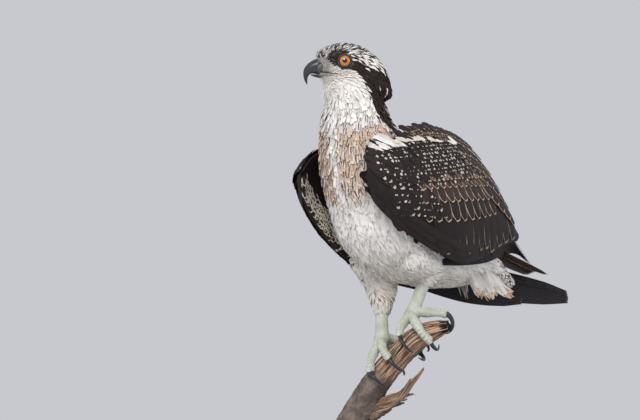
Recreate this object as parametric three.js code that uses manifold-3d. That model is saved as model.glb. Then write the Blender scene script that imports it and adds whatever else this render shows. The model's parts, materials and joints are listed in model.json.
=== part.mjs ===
// A perched osprey, life size, as a still museum model on a short length of branch and a plain stand.
// Units are millimetres, +Z is up, and the bird's body faces -X. The origin is the centre of the
// stand's underside. The bird's left side is towards -Y.
import * as THREE from "three";
import { mergeVertices } from "three/addons/utils/BufferGeometryUtils.js";
import Module from "manifold-3d";

const wasm = await Module();
wasm.setup();

// Driving sizes of the whole.
const GAP = 0.4; // between pieces that touch
const HEAD_TURN = 37; // degrees that the head turns to the bird's right
const HEAD_AT = [-83, 2, 536]; // middle of the head
const EYE_RADIUS = 9;
const TARSUS_RADIUS = 8.2;
const TOE_RADIUS = 6.2;
const CLAW_RADIUS = 2.9;
const FEATHER_THICK = 1.2;
const ROOT_SUNK = 3; // how far a feather's root lies below the surface that carries it
const BASE_LONG = 300; // the stand's base
const BASE_WIDE = 240;
const BASE_HIGH = 18;
const BASE_CORNER = 16;
const ROD_RADIUS = 7;

// Colours.
const paint = (color, roughness) => new THREE.MeshStandardMaterial({ color, roughness, metalness: 0 });
const WHITE_PLUMAGE = paint(0xe9e4dc, 0.85);
const DARK_PLUMAGE = paint(0x3a2b24, 0.8);
const BILL_HORN = paint(0x24262b, 0.35);
const EYE_ORANGE = paint(0xe08a1c, 0.1);
const LEG_SCALES = paint(0xc3cdc2, 0.7);
const CLAW_HORN = paint(0x1c1e22, 0.35);
const DEAD_WOOD = paint(0x7a6250, 0.9);
const STAND_PAINT = paint(0x2c2d2f, 0.5);

// Small helpers for vectors and smooth tables.
const vec = (x, y, z) => new THREE.Vector3(x, y, z);
const rad = THREE.MathUtils.degToRad;
const mix = (a, b, t) => a + (b - a) * t;
const clamp = THREE.MathUtils.clamp;

function cubic(a, b, c, d, t) {
  const slopeIn = (c - a) / 2;
  const slopeOut = (d - b) / 2;
  const bend = b - c;
  const curl = 2 * bend + slopeIn + slopeOut;
  return (curl * t - 3 * bend - 2 * slopeIn - slopeOut) * t * t + slopeIn * t + b;
}

// The stations' named values at t from 0 to 1, smoothly between them.
function between(stations, t) {
  const last = stations.length - 1;
  const at = clamp(t, 0, 1) * last;
  const i = Math.min(Math.floor(at), last - 1);
  const pick = (k) => stations[clamp(k, 0, last)];
  const found = {};
  for (const key of Object.keys(stations[0]))
    found[key] = cubic(pick(i - 1)[key], pick(i)[key], pick(i + 1)[key], pick(i + 2)[key], at - i);
  return found;
}

// Solids. A ring is a list of points with an even count; rings make a closed skin with flat ends,
// and the second half of each ring mirrors the first, so both faces of a thin blade split alike.
function solidOf(geometry) {
  const bare = geometry.clone();
  bare.deleteAttribute("normal");
  bare.deleteAttribute("uv");
  const merged = mergeVertices(bare, 1e-4);
  const vertProperties = new Float32Array(merged.attributes.position.array);
  const triVerts = new Uint32Array(merged.index.array);
  const made = new wasm.Manifold(new wasm.Mesh({ numProp: 3, vertProperties, triVerts }));
  if (made.volume() > 0) return made;
  for (let i = 0; i < triVerts.length; i += 3) triVerts.subarray(i + 1, i + 3).reverse();
  return new wasm.Manifold(new wasm.Mesh({ numProp: 3, vertProperties, triVerts }));
}

function skin(rings) {
  const n = rings[0].length;
  const half = n / 2;
  const index = [];
  for (let i = 0; i + 1 < rings.length; i++)
    for (let k = 0; k < n; k++) {
      const [a, b] = [i * n + k, i * n + ((k + 1) % n)];
      const [c, d] = [a + n, b + n];
      if (k < half) index.push(a, b, d, a, d, c);
      else index.push(a, b, c, b, d, c);
    }
  for (const [base, flip] of [[0, true], [(rings.length - 1) * n, false]])
    for (let k = 0; k + 1 < half; k++) {
      const [a, b, c, d] = [base + k, base + k + 1, base + n - 1 - k, base + n - 2 - k];
      if (flip) index.push(a, c, b, b, c, d);
      else index.push(a, b, c, b, d, c);
    }
  const geometry = new THREE.BufferGeometry();
  const corners = rings.flat().flatMap((point) => point.toArray());
  geometry.setAttribute("position", new THREE.Float32BufferAttribute(corners, 3));
  geometry.setIndex(index.filter((_, i) => notFlat(rings, index, n, i)));
  return solidOf(geometry);
}

// False for the corners of a triangle with two corners in one place, as at a pointed end.
function notFlat(rings, index, n, i) {
  const first = i - (i % 3);
  const at = (k) => rings[Math.floor(index[k] / n)][index[k] % n];
  const [a, b, c] = [at(first), at(first + 1), at(first + 2)];
  return a.distanceTo(b) > 1e-3 && b.distanceTo(c) > 1e-3 && c.distanceTo(a) > 1e-3;
}

const joined = (solids) => wasm.Manifold.union(solids);

// The largest closed piece, so that no scrap of a cut is left.
function largest(solid) {
  const pieces = solid.decompose();
  return pieces.reduce((best, piece) => (piece.volume() > best.volume() ? piece : best));
}

// A solid with room left around each other solid, by cutting with the other in place and moved six ways.
const CUT_WAYS = [[0, 0, 0], [1, 0, 0], [-1, 0, 0], [0, 1, 0], [0, -1, 0], [0, 0, 1], [0, 0, -1]];

function clearOf(solid, ...others) {
  let left = solid;
  for (const other of others)
    for (const way of CUT_WAYS) left = left.subtract(other.translate(way.map((w) => w * GAP)));
  return left;
}

const group = new THREE.Group();

function addNode(name, solid, material) {
  const mesh = largest(solid).getMesh();
  const points = new Float32Array(mesh.numVert * 3);
  for (let i = 0; i < mesh.numVert; i++)
    points.set(mesh.vertProperties.subarray(i * mesh.numProp, i * mesh.numProp + 3), i * 3);
  const geometry = new THREE.BufferGeometry();
  geometry.setAttribute("position", new THREE.BufferAttribute(points, 3));
  geometry.setIndex(new THREE.BufferAttribute(mesh.triVerts, 1));
  const node = new THREE.Mesh(geometry, material);
  node.name = name;
  group.add(node);
}

// A box far larger than the bird, below or above the plane through point with this normal.
function halfSpace(point, normal) {
  const size = 2000;
  const box = new THREE.BoxGeometry(size, size, size).translate(0, 0, size / 2);
  box.applyQuaternion(new THREE.Quaternion().setFromUnitVectors(vec(0, 0, 1), normal.clone().normalize()));
  return solidOf(box.translate(point.x, point.y, point.z));
}

function ball(center, radii, around = 16) {
  const sphere = new THREE.SphereGeometry(1, around, Math.round(around * 0.6));
  sphere.rotateX(Math.PI / 2).scale(...radii);
  return solidOf(sphere.translate(center.x, center.y, center.z));
}

// A tube along points, round or oval, with a radius at each t. across is the oval's wide direction.
function tube(points, radiusAt, { steps = 12, sides = 10, wide = 1, across = null } = {}) {
  const curve = new THREE.CatmullRomCurve3(points, false, "centripetal");
  const rings = [];
  let side = across ? across.clone() : vec(0, 1, 0);
  for (let i = 0; i <= steps; i++) {
    const t = i / steps;
    const at = curve.getPointAt(t);
    const along = curve.getTangentAt(t);
    side = side.sub(along.clone().multiplyScalar(side.dot(along))).normalize();
    const up = along.clone().cross(side);
    const radius = radiusAt(t);
    rings.push(Array.from({ length: sides }, (_, k) => {
      const angle = (2 * Math.PI * (k + 0.5)) / sides;
      const out = at.clone().addScaledVector(side, radius * wide * Math.cos(angle));
      return out.addScaledVector(up, radius * Math.sin(angle));
    }));
  }
  return skin(rings);
}

// The body: one spine from the neck's top to the tip of the undertail coverts, with the depth to the
// front (breast and belly), to the back, and to each side.
const BODY = [
  { x: -82, z: 516, front: 31, back: 31, wide: 31 },
  { x: -81, z: 484, front: 40, back: 40, wide: 40 },
  { x: -78, z: 452, front: 44, back: 51, wide: 49 },
  { x: -66, z: 418, front: 52, back: 66, wide: 60 },
  { x: -43, z: 382, front: 60, back: 78, wide: 68 },
  { x: -14, z: 350, front: 74, back: 86, wide: 69 },
  { x: 42, z: 326, front: 66, back: 70, wide: 58 },
  { x: 92, z: 311, front: 53, back: 46, wide: 43 },
  { x: 140, z: 296, front: 34, back: 22, wide: 28 },
  { x: 196, z: 264, front: 4, back: 4, wide: 9 },
];
const BODY_RINGS = 22;
const BODY_SIDES = 24;

function bodySolid(grow = 0) {
  const rings = [];
  for (let i = 0; i <= BODY_RINGS; i++) {
    const t = i / BODY_RINGS;
    const here = between(BODY, t);
    const [before, after] = [between(BODY, t - 0.02), between(BODY, t + 0.02)];
    const along = vec(after.x - before.x, 0, after.z - before.z).normalize();
    const front = vec(along.z, 0, -along.x);
    const end = i === 0 ? -grow : i === BODY_RINGS ? grow : 0;
    rings.push(Array.from({ length: BODY_SIDES }, (_, k) => {
      const angle = (2 * Math.PI * (k + 0.5)) / BODY_SIDES;
      const depth = Math.cos(angle) * ((Math.cos(angle) > 0 ? here.front : here.back) + grow);
      return vec(here.x, 0, here.z)
        .addScaledVector(front, depth)
        .addScaledVector(along, end)
        .add(vec(0, Math.sin(angle) * (here.wide + grow), 0));
    }));
  }
  return skin(rings);
}

// The head, in its own frame: +X forward out of the bill, +Y to its left, +Z up, origin in its middle.
const headTurn = new THREE.Matrix4().makeRotationZ(Math.PI - rad(HEAD_TURN)).setPosition(...HEAD_AT);
const placeHead = (solid) => solid.transform(headTurn.elements);
const SKULL = [
  { x: 40.5, z: -2, up: 14, down: 14, wide: 9.5 },
  { x: 33, z: -1, up: 24, down: 21, wide: 16 },
  { x: 20, z: 0, up: 28, down: 27, wide: 22.5 },
  { x: 4, z: 0, up: 28.6, down: 30, wide: 27 },
  { x: -14, z: -4, up: 27, down: 28, wide: 28 },
  { x: -30, z: -13, up: 24, down: 26, wide: 25 },
  { x: -42, z: -24, up: 15, down: 18, wide: 16 },
  { x: -47, z: -33, up: 4, down: 8, wide: 6 },
];
const FACE_X = 38; // the flat that the bill grows from
const EYE_AT = { x: 12, z: 6, side: 18.5 };
const GAPE_BACK = 16; // where the line of the mouth ends, below the eye
const GAPE_Z = -10;
const HOOK_X = 52.5; // where the upper bill's cutting edge turns down into the hook

function skullSolid() {
  const rings = [];
  const steps = 14;
  for (let i = 0; i <= steps; i++) {
    const here = between(SKULL, i / steps);
    rings.push(Array.from({ length: 20 }, (_, k) => {
      const angle = (2 * Math.PI * (k + 0.5)) / 20;
      const rise = Math.sin(angle) * (Math.sin(angle) > 0 ? here.up : here.down);
      return vec(here.x, Math.cos(angle) * here.wide, here.z + rise);
    }));
  }
  return skin(rings);
}

function eyeBall(side, grow = 0) {
  const radius = EYE_RADIUS + grow;
  return ball(vec(EYE_AT.x, side * EYE_AT.side, EYE_AT.z), [radius, radius, radius]);
}

// A lid is a ring round the eye that faces out and a little forward.
function eyeLid(side) {
  const ring = new THREE.TorusGeometry(EYE_RADIUS - 0.6, 1.9, 6, 16);
  ring.rotateX(Math.PI / 2).rotateZ(side * rad(-10));
  const out = EYE_AT.side + 3.6;
  return solidOf(ring.translate(EYE_AT.x + 0.6, side * out, EYE_AT.z));
}

// The brow shades the eye from the bill's root backwards.
function brow(side) {
  const points = [[31, 11, 10], [18, 20, 16], [4, 24, 15.5], [-8, 24.5, 10]];
  const path = points.map(([x, y, z]) => vec(x, side * y, z));
  return tube(path, (t) => 3.4 * Math.sin(Math.PI * mix(0.15, 0.85, t)), { steps: 6, sides: 6 });
}

// The upper bill: from its flat root to the hooked tip.
const BILL_UPPER = [
  { x: 38.4, z: 0.5, up: 9, down: 10.6, wide: 8.6 },
  { x: 44, z: 0.5, up: 8.4, down: 11, wide: 7.9 },
  { x: 50, z: -1.5, up: 7, down: 9.6, wide: 6.6 },
  { x: 55.5, z: -6, up: 5.5, down: 5.6, wide: 4.8 },
  { x: 58, z: -12, up: 3.2, down: 3.2, wide: 2.9 },
  { x: 57.8, z: -18, up: 1.7, down: 1.7, wide: 1.6 },
  { x: 56.4, z: -23, up: 0.4, down: 0.4, wide: 0.4 },
];

function billUpper() {
  const steps = 12;
  const rings = [];
  for (let i = 0; i <= steps; i++) {
    const t = i / steps;
    const here = between(BILL_UPPER, t);
    const [before, after] = [between(BILL_UPPER, t - 0.02), between(BILL_UPPER, t + 0.02)];
    const along = i === 0 ? vec(1, 0, 0) : vec(after.x - before.x, 0, after.z - before.z).normalize();
    const rise = vec(-along.z, 0, along.x);
    rings.push(Array.from({ length: 14 }, (_, k) => {
      const angle = (2 * Math.PI * (k + 0.5)) / 14;
      const reach = Math.sin(angle) * (Math.sin(angle) > 0 ? here.up : here.down);
      return vec(here.x, Math.cos(angle) * here.wide, here.z).addScaledVector(rise, reach);
    }));
  }
  const nostrils = [-1, 1].map((side) => ball(vec(43, side * 8.6, 1.5), [2.6, 1.6, 1.1], 8));
  const behindHook = halfSpace(vec(HOOK_X, 0, 0), vec(-1, 0, 0));
  const underBill = halfSpace(vec(0, 0, GAPE_Z), vec(0, 0, -1)).intersect(behindHook);
  return skin(rings).subtract(joined(nostrils)).subtract(underBill);
}

// The lower bill lies under the upper one and ends inside its hook.
function billLower() {
  const steps = 6;
  const rings = [];
  for (let i = 0; i <= steps; i++) {
    const t = i / steps;
    const x = mix(38.4, 52, t);
    const top = GAPE_Z - GAP;
    const deep = mix(4.6, 1, t * t);
    const wide = mix(6.6, 1.6, t * t);
    rings.push(Array.from({ length: 10 }, (_, k) => {
      const angle = (Math.PI * k) / 9;
      return vec(x, Math.cos(angle) * wide, top - Math.sin(angle) * deep);
    }));
  }
  return skin(rings);
}

const headCut = { at: vec(-82, 0, 503), normal: vec(-0.12, 0.05, 1) };
const neckCut = { at: vec(-74, 0, 450), normal: vec(-0.3, 0, 1) };

function above(cut, lift = 0) {
  const normal = cut.normal.clone().normalize();
  return halfSpace(cut.at.clone().addScaledVector(normal, lift), normal);
}

function below(cut, drop = 0) {
  const normal = cut.normal.clone().normalize().negate();
  return halfSpace(cut.at.clone().addScaledVector(normal, drop), normal);
}

// The long feathers of throat and nape, which carry the head's depth down into the neck.
const RUFF = { at: vec(-1, 0, -30), radii: [40, 33, 44] };

const body = bodySolid();
const ruff = placeHead(ball(RUFF.at, RUFF.radii, 24));
const flesh = body.add(ruff).add(placeHead(skullSolid()));

function buildHead() {
  const sockets = joined([-1, 1].map((side) => eyeBall(side, GAP)));
  const face = halfSpace(vec(FACE_X, 0, 0), vec(1, 0, 0));
  const slit = new THREE.BoxGeometry(FACE_X - GAPE_BACK + 4, 5, 0.9);
  const mouths = [-1, 1].map((side) => solidOf(slit.clone()
    .rotateZ(side * rad(-24))
    .translate((FACE_X + GAPE_BACK) / 2 + 1, side * 17.5, GAPE_Z)));
  const extras = [-1, 1].flatMap((side) => [eyeLid(side), brow(side)]);
  const shaped = placeHead(joined(extras).subtract(sockets));
  const cuts = placeHead(joined([sockets, face, ...mouths]));
  const whole = flesh.add(joined(napeLocks())).add(shaped).subtract(cuts);
  addNode("head", whole.intersect(above(headCut, GAP / 2)), WHITE_PLUMAGE);
  for (const [name, side] of [["eye_left", 1], ["eye_right", -1]])
    addNode(name, placeHead(eyeBall(side)), EYE_ORANGE);
  addNode("bill_upper", placeHead(billUpper()), BILL_HORN);
  addNode("bill_lower", placeHead(billLower()), BILL_HORN);
}

// A wing's outer face, by stations from the wrist to the rear: its lower and upper edges in the side
// view, and how far it stands out at the lower edge, the middle and the upper edge.
const WING = [
  { x: -119, low: 398, high: 420, outLow: 58, outMid: 62, outHigh: 56 },
  { x: -106, low: 368, high: 434, outLow: 62, outMid: 75, outHigh: 55 },
  { x: -75, low: 341, high: 444, outLow: 68, outMid: 84, outHigh: 52 },
  { x: -35, low: 318, high: 452, outLow: 71, outMid: 88, outHigh: 46 },
  { x: 5, low: 301, high: 456, outLow: 71, outMid: 87, outHigh: 40 },
  { x: 45, low: 292, high: 451, outLow: 66, outMid: 80, outHigh: 34 },
  { x: 85, low: 296, high: 437, outLow: 56, outMid: 68, outHigh: 28 },
  { x: 125, low: 306, high: 408, outLow: 45, outMid: 54, outHigh: 22 },
  { x: 160, low: 314, high: 366, outLow: 34, outMid: 40, outHigh: 18 },
  { x: 190, low: 318, high: 334, outLow: 22, outMid: 25, outHigh: 16 },
];
const WING_THICK = 11;

function outAt(station, v) {
  const middle = 2 * station.outMid - (station.outLow + station.outHigh) / 2;
  return (1 - v) ** 2 * station.outLow + 2 * v * (1 - v) * middle + v * v * station.outHigh;
}

// The wing's outer face at u along it and v from its lower edge up, on the left side.
function wingAt(u, v, inward = 0, frontDrop = 0) {
  const here = between(WING, u);
  const high = here.high - frontDrop * clamp(1 - 4 * u, 0, 1);
  return vec(here.x, -(outAt(here, v) - inward), mix(here.low, high, v));
}

// The station of the wing at this x, found by halving.
function wingStation(x) {
  let [low, high] = [0, 1];
  for (let i = 0; i < 24; i++) {
    const middle = (low + high) / 2;
    if (between(WING, middle).x < x) low = middle;
    else high = middle;
  }
  return between(WING, low);
}

// The point of the left wing's outer face at this x and z, and the direction out of the face there.
function onWing(x, z) {
  const here = wingStation(x);
  return vec(x, -outAt(here, clamp((z - here.low) / (here.high - here.low), -0.2, 1.1)), z);
}

function wingNormal(x, z) {
  const along = onWing(x + 3, z).sub(onWing(x - 3, z));
  const rise = onWing(x, z + 3).sub(onWing(x, z - 3));
  return along.cross(rise).normalize();
}

// A feather's blade, by rings from its sunk root to its tip: the share of its length and of its width.
const VANE = [
  { t: 0, width: 0.5, rise: -ROOT_SUNK },
  { t: 0.45, width: 1, rise: 0 },
  { t: 0.86, width: 0.78, rise: 0.7 },
  { t: 1, width: 0.22, rise: 0.9 },
];

const SHORT_VANE = [
  { t: 0, width: 0.7, rise: -ROOT_SUNK },
  { t: 0.8, width: 0.95, rise: 0.4 },
  { t: 1, width: 0.35, rise: 0.9 },
];

// place(t) gives a ring's middle, the way along and the way out of the face. The root is sunk below
// that face, the rest stands lift above it, and roll tips the blade sideways.
function vane(place, width, { lift = 0, roll = 0, thick = FEATHER_THICK, shape = VANE } = {}) {
  return skin(shape.map(({ t, width: share, rise }) => {
    const { at, along, face } = place(t);
    const out = face.clone().applyAxisAngle(along, roll);
    const side = along.clone().cross(out).normalize().multiplyScalar(width * share);
    const middle = at.clone().addScaledVector(face, rise + (t > 0 ? lift : 0));
    const corner = (s, up) => middle.clone().addScaledVector(side, s).addScaledVector(out, up * thick);
    return [corner(-0.5, 0.5), corner(0.5, 0.5), corner(0.5, -0.5), corner(-0.5, -0.5)];
  }));
}

// Tiers of feathers on the left wing, each from a first to a last feather, with roots and tips as x and z
// in the side view. bow pushes the middle ones' tips down; lift is the tier's height off the wing.
const TIERS = [
  { count: 8, roots: [[-52, 345], [72, 380]], tips: [[14, 300], [158, 322]], bow: 8, width: 25, lift: 0.8 },
  { count: 4, roots: [[-100, 402], [-52, 362]], tips: [[-58, 338], [22, 300]], bow: -2, width: 22, lift: 1.2 },
  { count: 8, roots: [[-72, 372], [72, 396]], tips: [[-32, 332], [112, 347]], bow: 4, width: 23, lift: 2.2 },
  { count: 8, roots: [[-84, 398], [66, 418]], tips: [[-60, 362], [94, 378]], bow: 4, width: 23, lift: 3.4 },
  { count: 6, roots: [[-84, 426], [40, 440]], tips: [[-66, 398], [66, 410]], bow: 3, width: 27, lift: 4.4 },
  { count: 5, roots: [[20, 446], [132, 380]], tips: [[70, 424], [166, 346]], bow: -4, width: 27, lift: 5.2 },
];
const VANE_ROLL = rad(-5);
const lerpPair = ([a, b], s) => [mix(a[0], b[0], s), mix(a[1], b[1], s)];

function tierVanes({ count, roots, tips, bow, width, lift }) {
  return Array.from({ length: count }, (_, k) => {
    const s = k / (count - 1);
    const root = lerpPair(roots, s);
    const tip = lerpPair(tips, s);
    tip[1] -= bow * Math.sin(Math.PI * s);
    const place = (t) => {
      const [x, z] = lerpPair([root, tip], t);
      const [dx, dz] = [(tip[0] - root[0]) * 0.05, (tip[1] - root[1]) * 0.05];
      const along = onWing(x + dx, z + dz).sub(onWing(x - dx, z - dz)).normalize();
      return { at: onWing(x, z), along, face: wingNormal(x, z) };
    };
    return vane(place, width, { lift, roll: VANE_ROLL, shape: lift > 2 ? SHORT_VANE : VANE });
  });
}

function wingCore(frontDrop = 0) {
  const [along, across] = [16, 9];
  const rings = [];
  for (let i = 0; i <= along; i++) {
    const u = i / along;
    const taper = Math.sqrt(clamp(Math.min(u, 1 - u) * 8, 0, 1));
    const outer = Array.from({ length: across + 1 }, (_, j) => wingAt(u, j / across, 0, frontDrop));
    const inner = Array.from({ length: across + 1 }, (_, j) => {
      const v = 1 - j / across;
      const edge = Math.sin(Math.PI * mix(0.04, 0.96, v)) ** 0.6;
      return wingAt(u, v, 1.2 + WING_THICK * edge * taper, frontDrop);
    });
    rings.push([...outer, ...inner]);
  }
  return skin(rings);
}

// A fan of long flight feathers: each lies along a curve through its own points, and the face turns
// from the first normal at the root to the second at the tip.
function flightVane(points, normals, width) {
  const curve = new THREE.CatmullRomCurve3(points, false, "centripetal");
  const place = (t) => {
    const face = normals[0].clone().lerp(normals[1], t).normalize();
    return { at: curve.getPointAt(t), along: curve.getTangentAt(t), face };
  };
  return vane(place, width, { thick: 1.6 });
}

const mirrored = (solid) => solid.mirror([0, 1, 0]);
const bodyGrown = bodySolid(GAP);

const TAIL_ROOT = vec(96, 0, 334);
const TAIL_TIP = vec(250, 0, 279);
const TAIL_FAN = rad(0.4); // between one tail feather and the next

function buildTail() {
  const feathers = [];
  for (let pair = 0; pair < 6; pair++)
    for (const side of [-1, 1]) {
      const drop = vec(0, side * (2 + 1.9 * pair), -0.9 * pair - 0.3 * (side + 1));
      const reach = TAIL_TIP.clone().sub(TAIL_ROOT).applyAxisAngle(vec(0, 0, 1), side * pair * TAIL_FAN);
      const root = TAIL_ROOT.clone().add(drop);
      const points = [0, 0.5, 1].map((t) => root.clone().addScaledVector(reach, t));
      feathers.push(flightVane(points, [vec(0.3, 0, 1), vec(0.3, 0, 1)], 25));
    }
  return joined(feathers);
}

// The hand's flight feathers in the closed wing, in fans: where the first and the last feather of a fan
// run, and the way their faces point at root and tip. The far hand shows a short fan and a long one.
const HAND_LEFT = [{
  count: 7,
  first: [[62, -60, 306], [110, -46, 318], [160, -26, 326], [212, 2, 316]],
  last: [[20, -62, 296], [96, -50, 302], [190, -10, 312], [282, 34, 288]],
  normals: [vec(0, -1, 0.1), vec(0.2, -0.5, 1)],
}];
const HAND_RIGHT = [{
  count: 3,
  first: [[40, 72, 290], [100, 60, 272], [160, 40, 255], [236, 14, 243]],
  last: [[30, 72, 288], [96, 60, 270], [156, 38, 252], [232, 10, 241]],
  normals: [vec(0, 1, 0.1), vec(0, 1, 0.1)],
}, {
  count: 4,
  first: [[20, 75, 296], [110, 62, 286], [214, 30, 268], [310, 6, 250]],
  last: [[0, 76, 285], [100, 64, 268], [200, 28, 254], [308, 4, 242]],
  normals: [vec(0, 1, 0.1), vec(0, 1, 0.1)],
}];
const HAND_LAYER = 0.9; // how far each feather lies inside the one before
const HAND_WIDE = 25;

function handFeathers(fans) {
  const layered = fans.flatMap(({ count, first, last, normals }) => Array.from({ length: count }, (_, k) => {
    const points = first.map((point, i) => vec(...point).lerp(vec(...last[i]), k / (count - 1)));
    return { points, normals };
  }));
  return joined(layered.map(({ points, normals }, k) => {
    const layer = normals[0].clone().setLength(-HAND_LAYER * k);
    return flightVane(points.map((point) => point.add(layer)), normals, HAND_WIDE);
  }));
}

const WING_DROOP = rad(7); // how much lower the far wing's tip hangs
const WRIST = vec(-118, 0, 397);

function buildWings() {
  const tail = buildTail().subtract(bodyGrown);
  const vanes = joined(TIERS.flatMap(tierVanes));
  const leftCore = wingCore().add(vanes).subtract(bodyGrown);
  const droop = new THREE.Matrix4().makeTranslation(...WRIST)
    .multiply(new THREE.Matrix4().makeRotationY(WING_DROOP))
    .multiply(new THREE.Matrix4().makeTranslation(...WRIST.clone().negate()));
  const rightCore = mirrored(wingCore(16).add(vanes)).transform(droop.elements).subtract(bodyGrown);
  const left = handFeathers(HAND_LEFT).subtract(bodyGrown);
  const right = handFeathers(HAND_RIGHT).subtract(bodyGrown);
  addNode("wing_left", clearOf(leftCore, tail), DARK_PLUMAGE);
  addNode("wing_right", clearOf(rightCore, tail), DARK_PLUMAGE);
  addNode("primaries_left", clearOf(left, leftCore, tail), DARK_PLUMAGE);
  addNode("primaries_right", clearOf(right, rightCore, tail), DARK_PLUMAGE);
  addNode("tail", tail, DARK_PLUMAGE);
}

// The perch: a dead branch that rises towards the bird's left, with a snapped end and a torn side
// splinter. Its line is given by points along its middle, as run and rise from its foot.
const PERCH_TURN = rad(25);
const PERCH_PLAN = vec(Math.sin(PERCH_TURN), -Math.cos(PERCH_TURN), 0);
const PERCH_FOOT = vec(-38, 69.7, 61);
const PERCH_LINE = [[-8, -13], [21, 34], [54.5, 86.5], [84, 119], [105, 137.8], [129, 147.8], [145, 151.5]];
const PERCH_CUT = 62; // height of the flat that the stand's rod meets
const perchPoint = ([run, rise]) => PERCH_FOOT.clone().addScaledVector(PERCH_PLAN, run).add(vec(0, 0, rise));
const perchCurve = new THREE.CatmullRomCurve3(PERCH_LINE.map(perchPoint), false, "centripetal");
const PERCH_LENGTH = perchCurve.getLength();
const PERCH_RADIUS = [23, 21.5, 19, 17.5, 16.5, 15.5, 14.5, 9].map((r) => ({ r }));

// The perch's middle line, and its camera side and upper side, at a length from its broken end.
function perchFrame(fromEnd) {
  const t = clamp(1 - fromEnd / PERCH_LENGTH, 0, 1);
  const along = perchCurve.getTangentAt(t);
  const side = along.clone().cross(vec(0, 0, 1)).normalize();
  const up = side.clone().cross(along);
  const at = perchCurve.getPointAt(t).addScaledVector(along, Math.max(0, -fromEnd));
  return { at, along, side, up, radius: between(PERCH_RADIUS, t).r };
}

function perchSolid(grow = 0) {
  const steps = 22;
  const sides = 14;
  const rings = [];
  for (let i = 0; i <= steps; i++) {
    const t = i / steps;
    const { at, along, side, up, radius } = perchFrame((1 - t) * PERCH_LENGTH);
    at.addScaledVector(along, i === steps ? grow : 0);
    rings.push(Array.from({ length: sides }, (_, k) => {
      const angle = (2 * Math.PI * (k + 0.5)) / sides;
      const bump = 1 + 0.035 * Math.sin(3 * angle + 9 * t) + 0.02 * Math.sin(5 * angle - 17 * t);
      const reach = radius * bump + grow;
      const out = at.clone().addScaledVector(side, reach * Math.cos(angle));
      return out.addScaledVector(up, reach * Math.sin(angle));
    }));
  }
  return skin(rings);
}

// Torn splinters and a knot on the perch's underside: where each starts and ends, as run and rise.
const SPLINTERS = [
  { from: [46, 50], to: [107, 95], bow: 7, radius: 11 },
  { from: [56, 50], to: [96, 66], bow: -3, radius: 7.5 },
  { from: [42, 38], to: [69, 49], bow: 0, radius: 8 },
];

function splinterSolid({ from, to, bow, radius }) {
  const middle = [(from[0] + to[0]) / 2 + bow * 0.6, (from[1] + to[1]) / 2 - bow];
  const thinning = (t) => mix(radius, 1.8, t ** 1.4);
  return tube([from, middle, to].map(perchPoint), thinning, { steps: 6, sides: 8, wide: 0.8 });
}

// A leg: the hidden knee, the heel, the foot's joint over the perch, where the trousers' middle passes
// the heel, and how far down from heel to foot they reach.
const LEGS = {
  left: { knee: [-22, -34, 306], heel: [19, -35, 288], foot: [2.4, -17, 225], bend: [2, 0, 3], cuff: 0.34 },
  right: { knee: [-26, 30, 300], heel: [4, 36, 267], foot: [-14, 18, 197.5], bend: [-4, -4, -6], cuff: 0.6 },
};
// Each toe grips the perch: the length from the broken end at which it ends, and the angle round the
// perch from its top, towards its camera side if positive. claw tells which way the claw sets out:
// 1 round the perch, 0 straight on.
const TOES = {
  left: [
    { fromEnd: 54, angle: 55, claw: 1 },
    { fromEnd: 24, angle: 128, claw: 1 },
    { fromEnd: -3, angle: 16, claw: 0 },
    { fromEnd: 44, angle: -80, claw: 1 },
  ],
  right: [
    { fromEnd: 111, angle: 66, claw: 1 },
    { fromEnd: 83, angle: 84, claw: 1 },
    { fromEnd: 60, angle: -118, claw: 1 },
    { fromEnd: 92, angle: -75, claw: 1 },
  ],
};
const FOOT_BALL = 10.5;
const TOE_LIFT = 3.5; // how far a toe's middle arches off the perch
const CLAW_BEND = 14.5; // radius of a claw's curve
const CLAW_SWEEP = rad(135);
const CLAW_RISE = rad(28); // how steeply a claw leaves the perch before it curls back

// The point round the perch at this length, angle and distance from its middle.
function gripPoint(fromEnd, angle, reach) {
  const { at, side, up } = perchFrame(fromEnd);
  return at.addScaledVector(up, Math.cos(angle) * reach).addScaledVector(side, Math.sin(angle) * reach);
}

// Where a foot's joint is round the perch: the length from the end, the angle and the reach.
function gripOf(point) {
  let best = null;
  for (let fromEnd = 0; fromEnd < PERCH_LENGTH; fromEnd += 1) {
    const { at, side, up } = perchFrame(fromEnd);
    const off = point.clone().sub(at);
    const found = { fromEnd, angle: Math.atan2(off.dot(side), off.dot(up)), reach: off.length() };
    if (!best || found.reach < best.reach) best = found;
  }
  return best;
}

function toePath(foot, toe) {
  const start = gripOf(foot);
  const steps = 5;
  return Array.from({ length: steps + 1 }, (_, k) => {
    const t = k / steps;
    const fromEnd = mix(start.fromEnd, toe.fromEnd, t);
    const resting = perchFrame(fromEnd).radius + TOE_RADIUS + 0.6;
    const reach = mix(start.reach, resting, Math.min(1, 2.2 * t)) + TOE_LIFT * Math.sin(Math.PI * t);
    return gripPoint(fromEnd, mix(start.angle, rad(toe.angle), t), reach);
  });
}

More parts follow.
